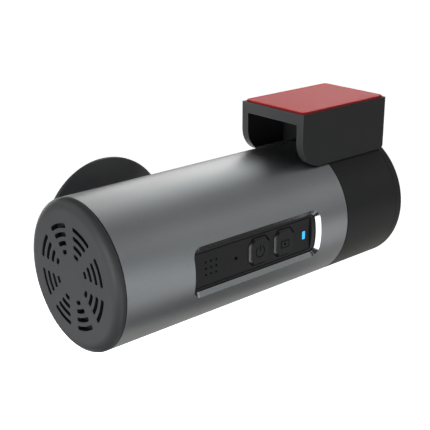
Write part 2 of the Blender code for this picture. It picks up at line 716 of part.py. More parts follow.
def build_wave_washer(camera, middle):
    """A thin spring washer whose ring rises and falls three times round the shaft."""
    inner = SHAFT_RADIUS + FIT
    outer = WASHER_RADIUS
    thickness = 0.25 * MM
    height = 0.22 * MM
    waves = 3
    sides = MID_ROUND
    bm = bmesh.new()
    rings = []
    for radius, face in ((inner, -1), (outer, -1), (outer, 1), (inner, 1)):
        ring = []
        for step in range(sides):
            angle = 2 * math.pi * step / sides
            place = middle + height * math.sin(waves * angle) + face * thickness / 2
            ring.append(bm.verts.new((place, radius * math.cos(angle), radius * math.sin(angle))))
        rings.append(ring)
    for index, ring in enumerate(rings):
        following = rings[(index + 1) % len(rings)]
        for step in range(sides):
            ahead = (step + 1) % sides
            bm.faces.new((ring[step], ring[ahead], following[ahead], following[step]))
    make_object("wave_washer", bm, "steel", camera)


# ---- control panel ------------------------------------------------------------------------
def curved_plate(name, left, right, inner, outer, half_angle, corner, finish, camera):
    """Part of a cylinder's wall on the driver's side, with round corners."""
    steps = 10
    outline = []
    for radius, turn in ((outer, 1), (inner, -1)):
        for step in range(steps + 1):
            angle = turn * half_angle * (2 * step / steps - 1)
            outline.append((-radius * math.cos(angle), radius * math.sin(angle)))
    bm = bmesh.new()
    add_prism(bm, outline, "X", left, right)
    corners = [edge for edge in bm.edges if is_radial_corner(edge, half_angle)]
    bmesh.ops.bevel(bm, geom=corners, offset=corner, segments=4, affect="EDGES", profile=0.5)
    return make_object(name, bm, finish, camera)


def is_radial_corner(edge, half_angle):
    first, second = (vert.co for vert in edge.verts)
    level = abs(first.x - second.x) < TINY
    angles = [abs(math.atan2(point.z, -point.y)) for point in (first, second)]
    return level and all(abs(angle - half_angle) < 0.001 for angle in angles)


def build_bezel(camera):
    inset = WINDOW_CHAMFER + FIT
    half_angle = (WINDOW_HALF_ARC - inset) / TUBE_RADIUS
    bezel = curved_plate("panel_bezel", WINDOW_LEFT + inset, WINDOW_RIGHT - inset, 16.2 * MM, RIM_RADIUS,
                         half_angle, WINDOW_CORNER - inset, "panel_black", camera)
    flange = curved_plate("bezel_flange_form", WINDOW_LEFT - 0.6 * MM, WINDOW_RIGHT + 0.6 * MM,
                          15.7 * MM, TUBE_BORE - FIT, half_angle + 0.09, 2.0 * MM, "panel_black", camera)
    combine(bezel, flange, "UNION")
    pocket = prism("panel_pocket", rounded_rectangle(PANEL_LEFT - FIT, PANEL_RIGHT + FIT,
                                                     -PANEL_HALF - FIT, PANEL_HALF + FIT, 0.5 * MM),
                   "Y", -TUBE_RADIUS - THROUGH, PANEL_FACE + PANEL_THICKNESS + FIT, "panel_black", camera)
    combine(bezel, pocket)
    ledge = 1.2 * MM
    opening = prism("panel_opening", rounded_rectangle(PANEL_LEFT + ledge, PANEL_RIGHT - ledge,
                                                       -PANEL_HALF, PANEL_HALF, 0.5 * MM),
                    "Y", -TUBE_RADIUS, -TUBE_RADIUS / 2, "panel_black", camera)
    combine(bezel, opening)


def octagon(x, grow=0.0):
    """Outline of a button: a near square with its corners cut off, grown all round."""
    half_w = BUTTON_WIDTH / 2 + grow
    half_h = BUTTON_HEIGHT / 2 + grow
    cut_x = BUTTON_CUT_X + 0.45 * grow
    cut_z = BUTTON_CUT_Z + 0.45 * grow
    return [(x - half_w, -half_h + cut_z), (x - half_w + cut_x, -half_h),
            (x + half_w - cut_x, -half_h), (x + half_w, -half_h + cut_z),
            (x + half_w, half_h - cut_z), (x + half_w - cut_x, half_h),
            (x - half_w + cut_x, half_h), (x - half_w, half_h - cut_z)]


def build_rear_panel(camera):
    panel = prism("rear_panel", rounded_rectangle(PANEL_LEFT, PANEL_RIGHT, -PANEL_HALF, PANEL_HALF,
                                                  0.4 * MM),
                  "Y", PANEL_FACE, PANEL_FACE + PANEL_THICKNESS, "panel_black", camera)
    front = PANEL_FACE - THROUGH
    back = PANEL_FACE + THROUGH
    bm = bmesh.new()
    for x in (POWER_X, PHOTO_X):
        add_prism(bm, octagon(x, BUTTON_GAP), "Y", front, back)
    add_prism(bm, circle(RESET_X, 0, RESET_HOLE, PIN_ROUND), "Y", front, back)
    for column in (-1, 0, 1):
        for row in (-1, 0, 1):
            hole = circle(MIC_X + column * MIC_PITCH, row * MIC_PITCH, MIC_HOLE, 6)
            add_prism(bm, hole, "Y", front, back)
    half_w = LIGHT_WIDTH / 2 + FIT
    half_h = LIGHT_HEIGHT / 2 + FIT
    add_prism(bm, rectangle(LIGHT_X - half_w, LIGHT_X + half_w, -half_h, half_h), "Y", front, back)
    combine(panel, make_object("panel_holes", bm, "panel_black", camera))


def build_button(name, x, camera):
    """Bevelled key cap on its slide axis: origin in the middle of the panel's face."""
    slide = make_empty(f"{name}_slide", (x, PANEL_FACE, 0), camera)
    flange_front = PANEL_THICKNESS + 0.2 * MM
    flange_back = flange_front + 0.7 * MM
    top = octagon(0, -BUTTON_RISE)
    side = octagon(0)
    flange = octagon(0, 0.5 * MM)
    levels = [(top, -BUTTON_RISE), (side, 0.0), (side, flange_front), (flange, flange_front),
              (flange, flange_back)]
    bm = bmesh.new()
    rings = [[bm.verts.new((u, depth, v)) for u, v in outline] for outline, depth in levels]
    for near, far in zip(rings, rings[1:]):
        for index in range(8):
            ahead = (index + 1) % 8
            bm.faces.new((near[index], near[ahead], far[ahead], far[index]))
    bm.faces.new(rings[0])
    bm.faces.new(rings[-1][::-1])
    cap = make_object(name, bm, "button_black", slide)
    stem = rod(f"{name}_stem_form", flange_back - 0.3 * MM, STEM_END - PANEL_FACE, 1.2 * MM,
               "button_black", slide, axis="Y", segments=PIN_ROUND)
    combine(cap, stem, "UNION")
    return slide


def build_plunger(name, front, slide):
    """Switch plunger on its button's slide axis; `front` is where its outer end stands."""
    start = front - PANEL_FACE
    end = SWITCH_WELL - 0.5 * MM - PANEL_FACE
    rod(name, start, end, SWITCH_BORE - FIT, "nylon_white", slide, axis="Y", segments=PIN_ROUND)


def build_switch(name, x, camera):
    """Tact switch body, with the well that its plunger slides in."""
    half = SWITCH_SIZE / 2
    board_face = BOARD_Y - BOARD_THICKNESS / 2
    body = prism(name, rectangle(x - half, x + half, -half, half), "Y",
                 SWITCH_TOP, board_face - FIT, "steel", camera)
    well = rod(f"{name}_well", SWITCH_TOP - THROUGH, SWITCH_WELL, SWITCH_BORE, "steel", camera, axis="Y",
               centre=(x, 0, 0), segments=PIN_ROUND * 2)
    combine(body, well)


def build_controls(camera):
    board_face = BOARD_Y - BOARD_THICKNESS / 2
    block("key_board", (42.0 * MM, BOARD_Y, 0), (39.6 * MM, BOARD_THICKNESS, 12.4 * MM),
          "board_green", camera)
    for name, x in (("power", POWER_X), ("photo", PHOTO_X)):
        slide = build_button(f"{name}_button", x, camera)
        build_plunger(f"{name}_switch_plunger", STEM_END + FIT, slide)
        build_switch(f"{name}_switch", x, camera)
    build_switch("reset_switch", RESET_X, camera)
    reset_slide = make_empty("reset_slide", (RESET_X, PANEL_FACE, 0), camera)
    build_plunger("reset_plunger", PANEL_FACE + PANEL_THICKNESS + 0.6 * MM, reset_slide)
    light_back = board_face - 0.9 * MM
    outline = rectangle(LIGHT_X - LIGHT_WIDTH / 2, LIGHT_X + LIGHT_WIDTH / 2,
                        -LIGHT_HEIGHT / 2, LIGHT_HEIGHT / 2)
    prism("led_light_pipe", outline, "Y", PANEL_FACE, light_back, "light_blue", camera)
    block("status_led", (LIGHT_X, board_face - 0.4 * MM, 0), (1.0 * MM, 0.6 * MM, 1.6 * MM),
          "nylon_white", camera)
    block("microphone", (MIC_X, board_face - 0.65 * MM, 0), (3.8 * MM, 1.1 * MM, 3.0 * MM),
          "steel", camera)


# ---- electronics --------------------------------------------------------------------------
def build_inner_frame(camera):
    """Moulded tray that both boards are carried on, with a window for the heat spreader."""
    plan = rounded_rectangle(FRAME_LEFT, FRAME_RIGHT, -FRAME_HALF, FRAME_HALF, 2.0 * MM)
    frame = prism("inner_frame", plan, "Y", FRAME_Y - FRAME_THICKNESS / 2,
                  FRAME_Y + FRAME_THICKNESS / 2, "black_plastic", camera)
    window_half = FRAME_HALF - 4.0 * MM
    window = prism("frame_window", rounded_rectangle(FRAME_LEFT + 8.0 * MM, FRAME_RIGHT - 14.0 * MM,
                                                     -window_half, window_half, 1.5 * MM),
                   "Y", FRAME_Y - THROUGH, FRAME_Y + THROUGH, "black_plastic", camera)
    combine(frame, window)
    board_back = MAIN_BOARD_Y - MAIN_THICKNESS / 2
    post_inset = 3.4 * MM
    post_z = FRAME_HALF - 2.4 * MM
    post_radius = 1.5 * MM
    posts = bmesh.new()
    for x in (FRAME_LEFT + post_inset, FRAME_RIGHT - post_inset):
        for z in (-post_z, post_z):
            add_prism(posts, circle(x, z, post_radius, PIN_ROUND), "Y", FRAME_Y, board_back - FIT)
    combine(frame, make_object("post_forms", posts, "black_plastic", camera), "UNION")


def build_main_board(camera):
    board_front = MAIN_BOARD_Y + MAIN_THICKNESS / 2
    board_back = MAIN_BOARD_Y - MAIN_THICKNESS / 2
    block("main_board", (41.0 * MM, MAIN_BOARD_Y, 0), (50.0 * MM, MAIN_THICKNESS, 29.2 * MM),
          "board_green", camera)
    chip = 1.2 * MM
    pad = 0.9 * MM
    plate = 0.7 * MM
    block("processor", (CHIP_X, board_back - FIT - chip / 2, 0), (14 * MM, chip, 14 * MM),
          "chip_black", camera)
    pad_y = board_back - 2 * FIT - chip - pad / 2
    block("thermal_pad", (CHIP_X, pad_y, 0), (12 * MM, pad, 12 * MM), "thermal_grey", camera)
    plate_y = pad_y - pad / 2 - FIT - plate / 2
    block("heat_spreader", (CHIP_X, plate_y, 0), (19 * MM, plate, 13 * MM), "aluminium", camera)
    block("memory_chip", (CHIP_X + 14 * MM, board_back - FIT - chip / 2, 5.0 * MM),
          (9 * MM, chip, 11 * MM), "chip_black", camera)
    for number, side in ((1, 1), (2, -1)):
        rod(f"supercapacitor_{number}", 42.0 * MM, 64.0 * MM, 4.0 * MM, "capacitor_blue", camera,
            centre=(0, 5.8 * MM, side * 7.5 * MM), segments=SMALL_ROUND)
    bend_radius = 2.6 * MM
    rise = (63.0 * MM, board_front + 0.3 * MM, 0)
    bend = quarter_bend((63.4 * MM, -bend_radius, 0), (0, 1, 0), (1, 0, 0), bend_radius)
    straight = [(70.0 * MM, 0, 0), (77.0 * MM, 0, 0), (LEAD_MEETING, 0, 0)]
    lead("power_lead_barrel_end", [rise] + bend + straight, LEAD_RADIUS, camera)


def build_card(camera):
    """Memory card and the spring socket it is pushed into from below."""
    board_front = MAIN_BOARD_Y + MAIN_THICKNESS / 2
    half = CARD_WIDTH / 2
    side = 0.9 * MM
    shell = prism("sd_socket", rectangle(CARD_X - half - side, CARD_X + half + side,
                                         board_front + FIT, CARD_Y + CARD_THICKNESS / 2 + 0.6 * MM),
                  "Z", CARD_SOCKET_MOUTH, CARD_SOCKET_TOP, "steel", camera)
    gap = 0.2 * MM
    way = prism("card_way", rectangle(CARD_X - half - gap, CARD_X + half + gap,
                                      CARD_Y - CARD_THICKNESS / 2 - gap,
                                      CARD_Y + CARD_THICKNESS / 2 + gap),
                "Z", CARD_SOCKET_MOUTH - THROUGH, CARD_SOCKET_TOP - 0.5 * MM, "steel", camera)
    combine(shell, way)
    slide = make_empty("card_slide", (CARD_X, CARD_Y, CARD_BOTTOM), camera)
    notch = 1.0 * MM
    notch_start = 9.3 * MM
    notch_end = 10.2 * MM
    outline = [(-half, 0), (half, 0), (half, notch_start), (half - notch, notch_end),
               (half - notch, CARD_LENGTH), (-half, CARD_LENGTH)]
    prism("sd_card", outline, "Y", -CARD_THICKNESS / 2, CARD_THICKNESS / 2, "chip_black", slide)


def build_ribbons(camera):
    """Flat cables: sensor board to main board, and key board to main board."""
    thick = 0.15 * MM
    board_front = MAIN_BOARD_Y + MAIN_THICKNESS / 2
    board_back = MAIN_BOARD_Y - MAIN_THICKNESS / 2
    sensor_back = SENSOR_BOARD_Y - SENSOR_BOARD_THICKNESS / 2
    lift = 0.2 * MM
    tight = 1.2 * MM
    start = Vector((30.0 * MM, sensor_back - lift, 0))
    down = quarter_bend(Vector((36.5 * MM, start.y, 0)), (1, 0, 0), (0, -1, 0), 2.0 * MM, 4)
    end_y = board_front + lift
    back = quarter_bend(Vector((down[-1].x, end_y + tight, 0)), (0, -1, 0), (-1, 0, 0), tight, 4)
    path = [start] + down + back + [Vector((34.0 * MM, end_y, 0))]
    ribbon("sensor_ribbon", [(p.x, p.y) for p in path], 8.0 * MM, thick, "flex_amber", camera)
    key_back = BOARD_Y + BOARD_THICKNESS / 2
    first = Vector((57.0 * MM, key_back + lift, 0))
    up = quarter_bend(Vector((64.6 * MM, first.y, 0)), (1, 0, 0), (0, 1, 0), tight, 4)
    last_y = board_back - lift
    over = quarter_bend(Vector((up[-1].x, last_y - tight, 0)), (0, 1, 0), (-1, 0, 0), tight, 4)
    path = [first] + up + over + [Vector((61.5 * MM, last_y, 0))]
    ribbon("key_ribbon", [(p.x, p.y) for p in path], 6.0 * MM, thick, "flex_amber", camera)


# ---- lens pod -----------------------------------------------------------------------------
def pod_turned(name, profile, finish, camera, segments=MID_ROUND):
    return turned(name, profile, finish, camera, axis="Y", centre=(POD_X, 0, 0), segments=segments)


def build_pod(camera):
    """Dish shaped pod: a straight neck through the tube's wall that flares to a wide thin rim."""
    flare_start = TUBE_RADIUS + 0.35 * MM
    seat = BEZEL_RADIUS + FIT
    edge = 0.3 * MM
    profile = [(POD_NECK_BACK, POD_BORE), (POD_NECK_BACK, POD_NECK), (flare_start, POD_NECK),
               (POD_RIM_BACK, POD_RADIUS - edge - FIT), (POD_RIM_BACK + edge, POD_RADIUS),
               (POD_FRONT - edge, POD_RADIUS), (POD_FRONT, POD_RADIUS - edge),
               (POD_FRONT, seat), (BEZEL_BACK - 1.5 * FIT, seat),
               (GLASS_FRONT + FIT, POD_BORE)]
    pod_turned("lens_pod", profile, "black_plastic", camera, BIG_ROUND)


def build_pod_front(camera):
    """Glossy stepped ring that leads down to the flat cover glass, with the glass behind it."""
    edge = 0.3 * MM
    lip = POD_FRONT - SEAM
    floor = GLASS_FRONT + SEAM
    step_y = lip - 1.0 * MM
    profile = [(floor, BEZEL_OPENING), (floor + 0.6 * MM, BEZEL_OPENING), (step_y, 11.2 * MM),
               (step_y, 12.6 * MM), (lip, 15.2 * MM), (lip, BEZEL_RADIUS - edge),
               (lip - edge, BEZEL_RADIUS), (BEZEL_BACK, BEZEL_RADIUS),
               (floor, POD_BORE - 2 * FIT)]
    pod_turned("pod_front_bezel", profile, "gloss_black", camera)
    rod("cover_glass", GLASS_FRONT - GLASS_THICKNESS, GLASS_FRONT, GLASS_RADIUS, "lens_glass", camera,
        axis="Y", centre=(POD_X, 0, 0), segments=MID_ROUND)


def lens_profile(back, front, radius, back_bulge, front_bulge):
    """Half section of a lens: bulges are the heights of its two faces, hollow where negative."""
    steps = 2
    points = [(back - back_bulge, 0)]
    for step in range(1, steps + 1):
        share = step / steps
        points.append((back - back_bulge * (1 - share ** 2), radius * share))
    for step in range(steps, -1, -1):
        share = step / steps
        points.append((front + front_bulge * (1 - share ** 2), radius * share))
    return points


def build_optics(camera):
    board_front = SENSOR_BOARD_Y + SENSOR_BOARD_THICKNESS / 2
    block("sensor_board", (POD_X, SENSOR_BOARD_Y, 0), (22 * MM, SENSOR_BOARD_THICKNESS, 20 * MM),
          "board_green", camera)
    block("image_sensor", (POD_X, board_front + 0.6 * MM, 0), (8.0 * MM, 1.0 * MM, 6.4 * MM),
          "gloss_black", camera)
    base = board_front + FIT
    flange_top = base + 1.6 * MM
    holder_top = base + HOLDER_HEIGHT
    ledge = base + 2.4 * MM
    ledge_top = ledge + 0.5 * MM
    filter_room = 5.4 * MM
    aperture = 4.2 * MM
    holder = [(base, filter_room), (base, HOLDER_FLANGE), (flange_top, HOLDER_FLANGE),
              (flange_top, HOLDER_RADIUS), (holder_top, HOLDER_RADIUS), (holder_top, HOLDER_BORE),
              (ledge_top, HOLDER_BORE), (ledge_top, aperture), (ledge, aperture),
              (ledge, filter_room)]
    pod_turned("lens_holder", holder, "black_plastic", camera, SMALL_ROUND)
    rod("ir_filter", ledge - 0.5 * MM, ledge - FIT, filter_room - 3 * FIT, "lens_glass", camera,
        axis="Y", centre=(POD_X, 0, 0))
    tail = ledge_top + 2 * FIT
    head = holder_top + 0.5 * MM
    nose = GLASS_FRONT - GLASS_THICKNESS - 0.5 * MM
    shoulder = head + 1.5 * MM
    barrel = [(tail, REAR_LENS_BORE), (tail, BARREL_THREAD), (head, BARREL_THREAD),
              (head, HEAD_RADIUS), (nose, HEAD_RADIUS), (nose, FRONT_LENS_BORE),
              (shoulder, FRONT_LENS_BORE), (shoulder, REAR_LENS_BORE)]
    pod_turned("lens_barrel", barrel, "black_plastic", camera, SMALL_ROUND)
    front_face = nose - 1.9 * MM
    big = FRONT_LENS_BORE - FIT
    small = REAR_LENS_BORE - FIT
    front = lens_profile(front_face - 2.2 * MM, front_face, big, -0.9 * MM, 1.4 * MM)
    middle = lens_profile(head - 1.8 * MM, head - 0.4 * MM, small, 0.5 * MM, 0.6 * MM)
    rear = lens_profile(tail + 1.2 * MM, tail + 2.2 * MM, small, 0.6 * MM, 0.4 * MM)
    for name, profile in (("front", front), ("middle", middle), ("rear", rear)):
        pod_turned(f"lens_element_{name}", profile, "lens_glass", camera, SMALL_ROUND)


# ---- the whole camera ---------------------------------------------------------------------
def main():
    clear_scene()
    mount = make_empty("mount_frame", (-BRACKET_MIDDLE, 0, -PAD_TOP))
    build_bracket(mount)
    build_bracket_screws(mount)
    build_pad(mount)
    build_hinge_housing(mount)
    build_hinge_end_cap(mount)
    build_hinge_bush(mount)
    build_power_inlet(mount)

    camera = make_empty("barrel_pivot", (0, 0, 0), mount)
    build_tube(camera)
    build_vent_cap(camera)
    build_speaker(camera)
    build_bulkhead(camera)
    build_pivot(camera)
    build_bezel(camera)
    build_rear_panel(camera)
    build_controls(camera)
    build_inner_frame(camera)
    build_main_board(camera)
    build_card(camera)
    build_ribbons(camera)
    build_pod(camera)
    build_pod_front(camera)
    build_optics(camera)


main()
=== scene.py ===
"""Barrel dash camera: the visual model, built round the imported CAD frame.

Pieces are drawn in millimetres in the barrel's own frame: x = 0 at the vent end of the aluminium
tube, y = z = 0 on the tube's axis, +Y towards the road, -Y towards the driver.
"""
import json
import math

import bmesh
import bpy
from mathutils import Matrix, Vector


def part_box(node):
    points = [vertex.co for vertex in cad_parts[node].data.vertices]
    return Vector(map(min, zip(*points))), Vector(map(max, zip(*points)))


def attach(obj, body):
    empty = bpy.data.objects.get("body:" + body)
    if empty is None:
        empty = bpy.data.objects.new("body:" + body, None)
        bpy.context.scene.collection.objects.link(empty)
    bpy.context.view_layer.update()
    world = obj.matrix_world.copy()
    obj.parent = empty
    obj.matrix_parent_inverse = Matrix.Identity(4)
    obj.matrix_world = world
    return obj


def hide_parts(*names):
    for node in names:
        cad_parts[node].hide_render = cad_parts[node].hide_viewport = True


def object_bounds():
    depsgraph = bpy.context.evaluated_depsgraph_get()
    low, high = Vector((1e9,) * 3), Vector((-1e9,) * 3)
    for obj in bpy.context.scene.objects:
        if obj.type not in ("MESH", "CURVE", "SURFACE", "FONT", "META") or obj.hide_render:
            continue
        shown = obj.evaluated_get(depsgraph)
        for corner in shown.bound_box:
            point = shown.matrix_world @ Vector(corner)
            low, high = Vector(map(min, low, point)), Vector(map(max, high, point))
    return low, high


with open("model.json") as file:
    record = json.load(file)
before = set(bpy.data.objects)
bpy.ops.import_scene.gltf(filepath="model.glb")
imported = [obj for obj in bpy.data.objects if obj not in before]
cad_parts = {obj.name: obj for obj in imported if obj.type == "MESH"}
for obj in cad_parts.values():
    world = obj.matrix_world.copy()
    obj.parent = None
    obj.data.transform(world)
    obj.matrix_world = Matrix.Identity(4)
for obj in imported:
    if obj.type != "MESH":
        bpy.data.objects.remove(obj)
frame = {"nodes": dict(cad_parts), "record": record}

CAD_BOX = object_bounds()
MM = 0.001

tube_low, tube_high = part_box("tube_shell")
AXIS_START = Vector((tube_low.x, 0.0, (tube_low.z + tube_high.z) / 2))
TO_ROW = Matrix.Translation(AXIS_START) @ Matrix.Scale(MM, 4)


def node_box(name):
    """A CAD node's lowest and highest corners, in the barrel's frame, in millimetres."""
    low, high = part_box(name)
    return (low - AXIS_START) / MM, (high - AXIS_START) / MM


# ---- dimensions, in millimetres ----
TUBE_RADIUS = 19.0
TUBE_BORE = 17.4
TUBE_LENGTH = node_box("tube_shell")[1].x
SEAM = 0.25
FIT = 0.1
LIP = 0.06                        # rounding of a turned metal or plastic edge
WELD = 0.0005                     # points closer than this are one point
LEVEL = 1e-4                      # coordinates closer than this are the same
NEARLY_STRAIGHT = 1.55            # half angle in radians of a corner too flat to round
ROUND = 192                       # sides of a large turned piece

HINGE_START, HINGE_SEAM = node_box("hinge_housing")[0].x, node_box("hinge_housing")[1].x
HINGE_END = node_box("hinge_end_cap")[1].x

BRACKET_LOW, BRACKET_HIGH = node_box("mount_bracket")
BRACKET_HALF = BRACKET_HIGH.y
BRACKET_WALL = 2.3
BRACKET_PLATE = 2.95
BRACKET_CLEARANCE = 19.5
CHEEK_ROUND = 7.2
BRACKET_CORNER = 0.7
PAD_RECESS = 0.45
PAD_CORNER = 1.3
PEDESTAL_LEFT, PEDESTAL_RIGHT = 76.55, 94.0
PEDESTAL_HALF = 9.1
PEDESTAL_ROOT = 17.5
POWER_ROOM_HALF, POWER_ROOM_LOW, POWER_ROOM_TOP = 7.4, 8.75, 25.0
SOCKET_CORNER = 1.55
HINGE_BORE = 16.8
BUSH_RADIUS = 6.75
STOP_ORBIT, STOP_HALF = 12.4, 1.45
STOP_REACH = 66.7                 # degrees each side of the top

WINDOW_LEFT, WINDOW_RIGHT = 19.9, 63.3
WINDOW_HALF_ARC = 6.66
WINDOW_CHAMFER = 1.0
WINDOW_CORNER = 2.6
LONGEST_WINDOW_RUN = 1.5          # a longer straight run round the tube is split
PANEL_LOW, PANEL_HIGH = node_box("rear_panel")
PANEL_FACE = PANEL_LOW.y
PANEL_TOP_GAP = 0.24
RIM_RADIUS = 17.7
BEZEL_BACK, FLANGE_BACK = 16.2, 15.7

BUTTON_HALF_X, BUTTON_HALF_Z = 3.6, 3.65
BUTTON_CUT_X, BUTTON_CUT_Z = 1.5, 1.7
BUTTON_RISE = 0.52
BUTTON_GAP = 0.15
KEY_OFFSET = 0.10                 # the keys hang a little low and right in their holes
POWER_X, PHOTO_X, RESET_X, MIC_X, LIGHT_X = 42.4, 51.2, 34.6, 26.43, 58.56
MIC_PITCH = 1.65
MIC_RADIUS, RESET_RADIUS = 0.27, 0.48
STEM_END, STEM_RADIUS = -14.5, 1.2
GROOVE_TOP = PANEL_FACE - BUTTON_RISE - 0.3
GROOVE_FLOOR = PANEL_FACE - BUTTON_RISE + 0.12

CAP_DEPTH = -node_box("vent_end_cap")[0].x
CAP_THICKNESS = 1.7
CAP_EDGE_WIDTH = 3.0
SLOT_SECTORS = 8
SLOT_RADII = (12.6, 10.47, 8.34, 6.2)
SLOT_WIDTH = 1.05
SPOKE_WIDTH = 3.05
SLOT_CORNER = 0.42
SHORTEST_SLOT = 0.01              # half angle in radians
LONGEST_SLOT_RUN = 0.8

POD_X = 23.7
POD_RADIUS = 19.13
POD_ROOT = 8.0
POD_NECK = 12.0
POD_BORE = 10.4
POD_SEAT = 18.1
POD_FRONT = node_box("lens_pod")[1].y
GLASS_LOW, GLASS_HIGH = node_box("cover_glass")
GLASS_FRONT = GLASS_HIGH.y
CARD_LOW, CARD_HIGH = node_box("sd_card")
CARD_X = (CARD_LOW.x + CARD_HIGH.x) / 2
CARD_SLOT_HALF, CARD_SLOT_CORNER = 6.3, 0.9
CARD_SLOT_NEAR, CARD_SLOT_FAR = -4.7, -2.7


# ---- mesh helpers ----
def rounded(corners, steps=5):
    """A polygon of (u, v, radius) corners with each corner turned into an arc."""
    outline = []
    for index, (u, v, radius) in enumerate(corners):
        here = Vector((u, v))
        before = Vector(corners[index - 1][:2]) - here
        after = Vector(corners[(index + 1) % len(corners)][:2]) - here
        before.normalize()
        after.normalize()
        half = before.angle(after) / 2
        if radius <= 0 or half > NEARLY_STRAIGHT:
            outline.append((u, v))
            continue
        centre = here + (before + after).normalized() * radius / math.sin(half)
        start = here + before * radius / math.tan(half) - centre
        end = here + after * radius / math.tan(half) - centre
        turn = start.angle_signed(end)
        for step in range(steps + 1):
            spoke = Matrix.Rotation(-turn * step / steps, 2) @ start
            outline.append(tuple(centre + spoke))
    return outline


def box_outline(left, right, bottom, top, radius=0, steps=6):
    corners = [(left, bottom, radius), (right, bottom, radius), (right, top, radius), (left, top, radius)]
    return rounded(corners, steps)


def split_runs(outline, axis, longest, parts):
    """Cuts every run of the outline that is longer than that along one axis into equal parts."""
    points = []
    for index, point in enumerate(outline):
        points.append(point)
        run = outline[(index + 1) % len(outline)][axis] - point[axis]
        if abs(run) > longest:
            for step in range(1, parts):
                between = list(point)
                between[axis] += run * step / parts
                points.append(tuple(between))
    return points


def grown_rings(low, high, levels, corner, steps=6):
    """Rings round a box's Y and Z outline, at (x, growth) levels."""
    rings = []
    for place, grow in levels:
        flat = box_outline(low.y - grow, high.y + grow, low.z - grow, high.z + grow, corner + grow, steps)
        rings.append([(place, u, v) for u, v in flat])
    return rings


def quarter_turn(steps):
    """(1 - cosine, 1 - sine) pairs over a quarter turn."""
    angles = [math.pi / 2 * step / steps for step in range(steps + 1)]
    return [(1 - math.cos(angle), 1 - math.sin(angle)) for angle in angles]


def disc(u, v, radius, sides):
    return [(u + radius * math.cos(2 * math.pi * step / sides),
             v + radius * math.sin(2 * math.pi * step / sides)) for step in range(sides)]


def band(u, v, radius, width, start, end, steps):
    """Outline of an arc of constant width."""
    outline = []
    for edge, order in ((radius + width / 2, 1), (radius - width / 2, -1)):
        for step in range(steps + 1)[::order]:
            angle = math.radians(start + (end - start) * step / steps)
            outline.append((u + edge * math.cos(angle), v + edge * math.sin(angle)))
    return outline


def spot(axis, first, second, along):
    places = {"X": (along, first, second), "Y": (first, along, second), "Z": (first, second, along)}
    return Vector(places[axis])


def loft_into(bm, rings, closed=False):
    """Joins rings of equally many points into a body: flat at both ends, or closed on itself."""
    rows = [[bm.verts.new(point) for point in ring] for ring in rings]
    count = len(rows[0])
    following = rows[1:] + rows[:1] if closed else rows[1:]
    for near, far in zip(rows, following):
        for index in range(count):
            ahead = (index + 1) % count
            bm.faces.new((near[index], near[ahead], far[ahead], far[index]))
    if not closed:
        bm.faces.new(rows[0])
        bm.faces.new(rows[-1][::-1])


def prism_into(bm, outline, axis, low, high):
    loft_into(bm, [[spot(axis, u, v, place) for u, v in outline] for place in (low, high)])


def to_object(name, bm):
    bmesh.ops.recalc_face_normals(bm, faces=bm.faces)
    mesh = bpy.data.meshes.new(name)
    bm.to_mesh(mesh)
    bm.free()
    piece = bpy.data.objects.new(name, mesh)
    bpy.context.scene.collection.objects.link(piece)
    return piece


def turned(name, profile, axis="X", centre=(0, 0, 0), segments=ROUND):
    """Turns a closed (place along the axis, radius) profile round an X or Y axis."""
    along = Vector((1, 0, 0)) if axis == "X" else Vector((0, 1, 0))
    first = Vector((0, 0, 1))
    second = along.cross(first)
    bm = bmesh.new()
    rows = []
    for place, radius in profile:
        middle = Vector(centre) + along * place
        if radius < LEVEL:
            rows.append([bm.verts.new(middle)])
            continue
        row = []
        for step in range(segments):
            angle = 2 * math.pi * step / segments
            spoke = (first * math.cos(angle) + second * math.sin(angle)) * radius
            row.append(bm.verts.new(middle + spoke))
        rows.append(row)
    for near, far in zip(rows, rows[1:] + rows[:1]):
        if len(near) == 1 and len(far) == 1:
            continue
        for step in range(segments):
            ahead = (step + 1) % segments
            if len(near) == 1:
                bm.faces.new((near[0], far[ahead], far[step]))
            elif len(far) == 1:
                bm.faces.new((near[step], near[ahead], far[0]))
            else:
                bm.faces.new((near[step], near[ahead], far[ahead], far[step]))
    return to_object(name, bm)


def prism(name, outline, axis, low, high):
    bm = bmesh.new()
    prism_into(bm, outline, axis, low, high)
    return to_object(name, bm)


def bake(piece):
    """Turns a piece's modifiers into its mesh."""
    graph = bpy.context.evaluated_depsgraph_get()
    made = bpy.data.meshes.new_from_object(piece.evaluated_get(graph))
    piece.modifiers.clear()
    old = piece.data
    piece.data = made
    bpy.data.meshes.remove(old)
    made.name = piece.name


def carve(piece, tool, operation="DIFFERENCE"):
    step = piece.modifiers.new("carve", "BOOLEAN")
    step.operation = operation
    step.solver = "EXACT"
    step.object = tool
    bpy.context.view_layer.update()
    bake(piece)
    bm = bmesh.new()
    bm.from_mesh(piece.data)
    bmesh.ops.remove_doubles(bm, verts=bm.verts, dist=WELD)
    bmesh.ops.dissolve_degenerate(bm, edges=bm.edges, dist=WELD)
    bm.to_mesh(piece.data)
    bm.free()
    bpy.data.meshes.remove(tool.data)


def soften(piece, width, segments, angle):
    """Rounds every edge that is sharper than the angle."""
    step = piece.modifiers.new("soften", "BEVEL")
    step.width = width
    step.segments = segments
    step.limit_method = "ANGLE"
    step.angle_limit = math.radians(angle)
    step.use_clamp_overlap = True
    step.miter_outer = "MITER_ARC"
    bpy.context.view_layer.update()
    bake(piece)


def settle(piece, body, finishes, nodes, sharp=32):
    """Puts a piece drawn in millimetres in its place, on its body, with its finish."""
    mesh = piece.data
    mesh.transform(TO_ROW)
    for finish in finishes:
        mesh.materials.append(finish)
    mesh.shade_smooth()
    mesh.set_sharp_from_angle(angle=math.radians(sharp))
    weigh = piece.modifiers.new("weigh", "WEIGHTED_NORMAL")
    weigh.keep_sharp = True
    weigh.weight = 60
    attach(piece, body)
    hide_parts(*nodes)


def paint_faces(piece, index, chosen):
    for polygon in piece.data.polygons:
        if chosen(polygon.center, polygon.normal):
            polygon.material_index = index


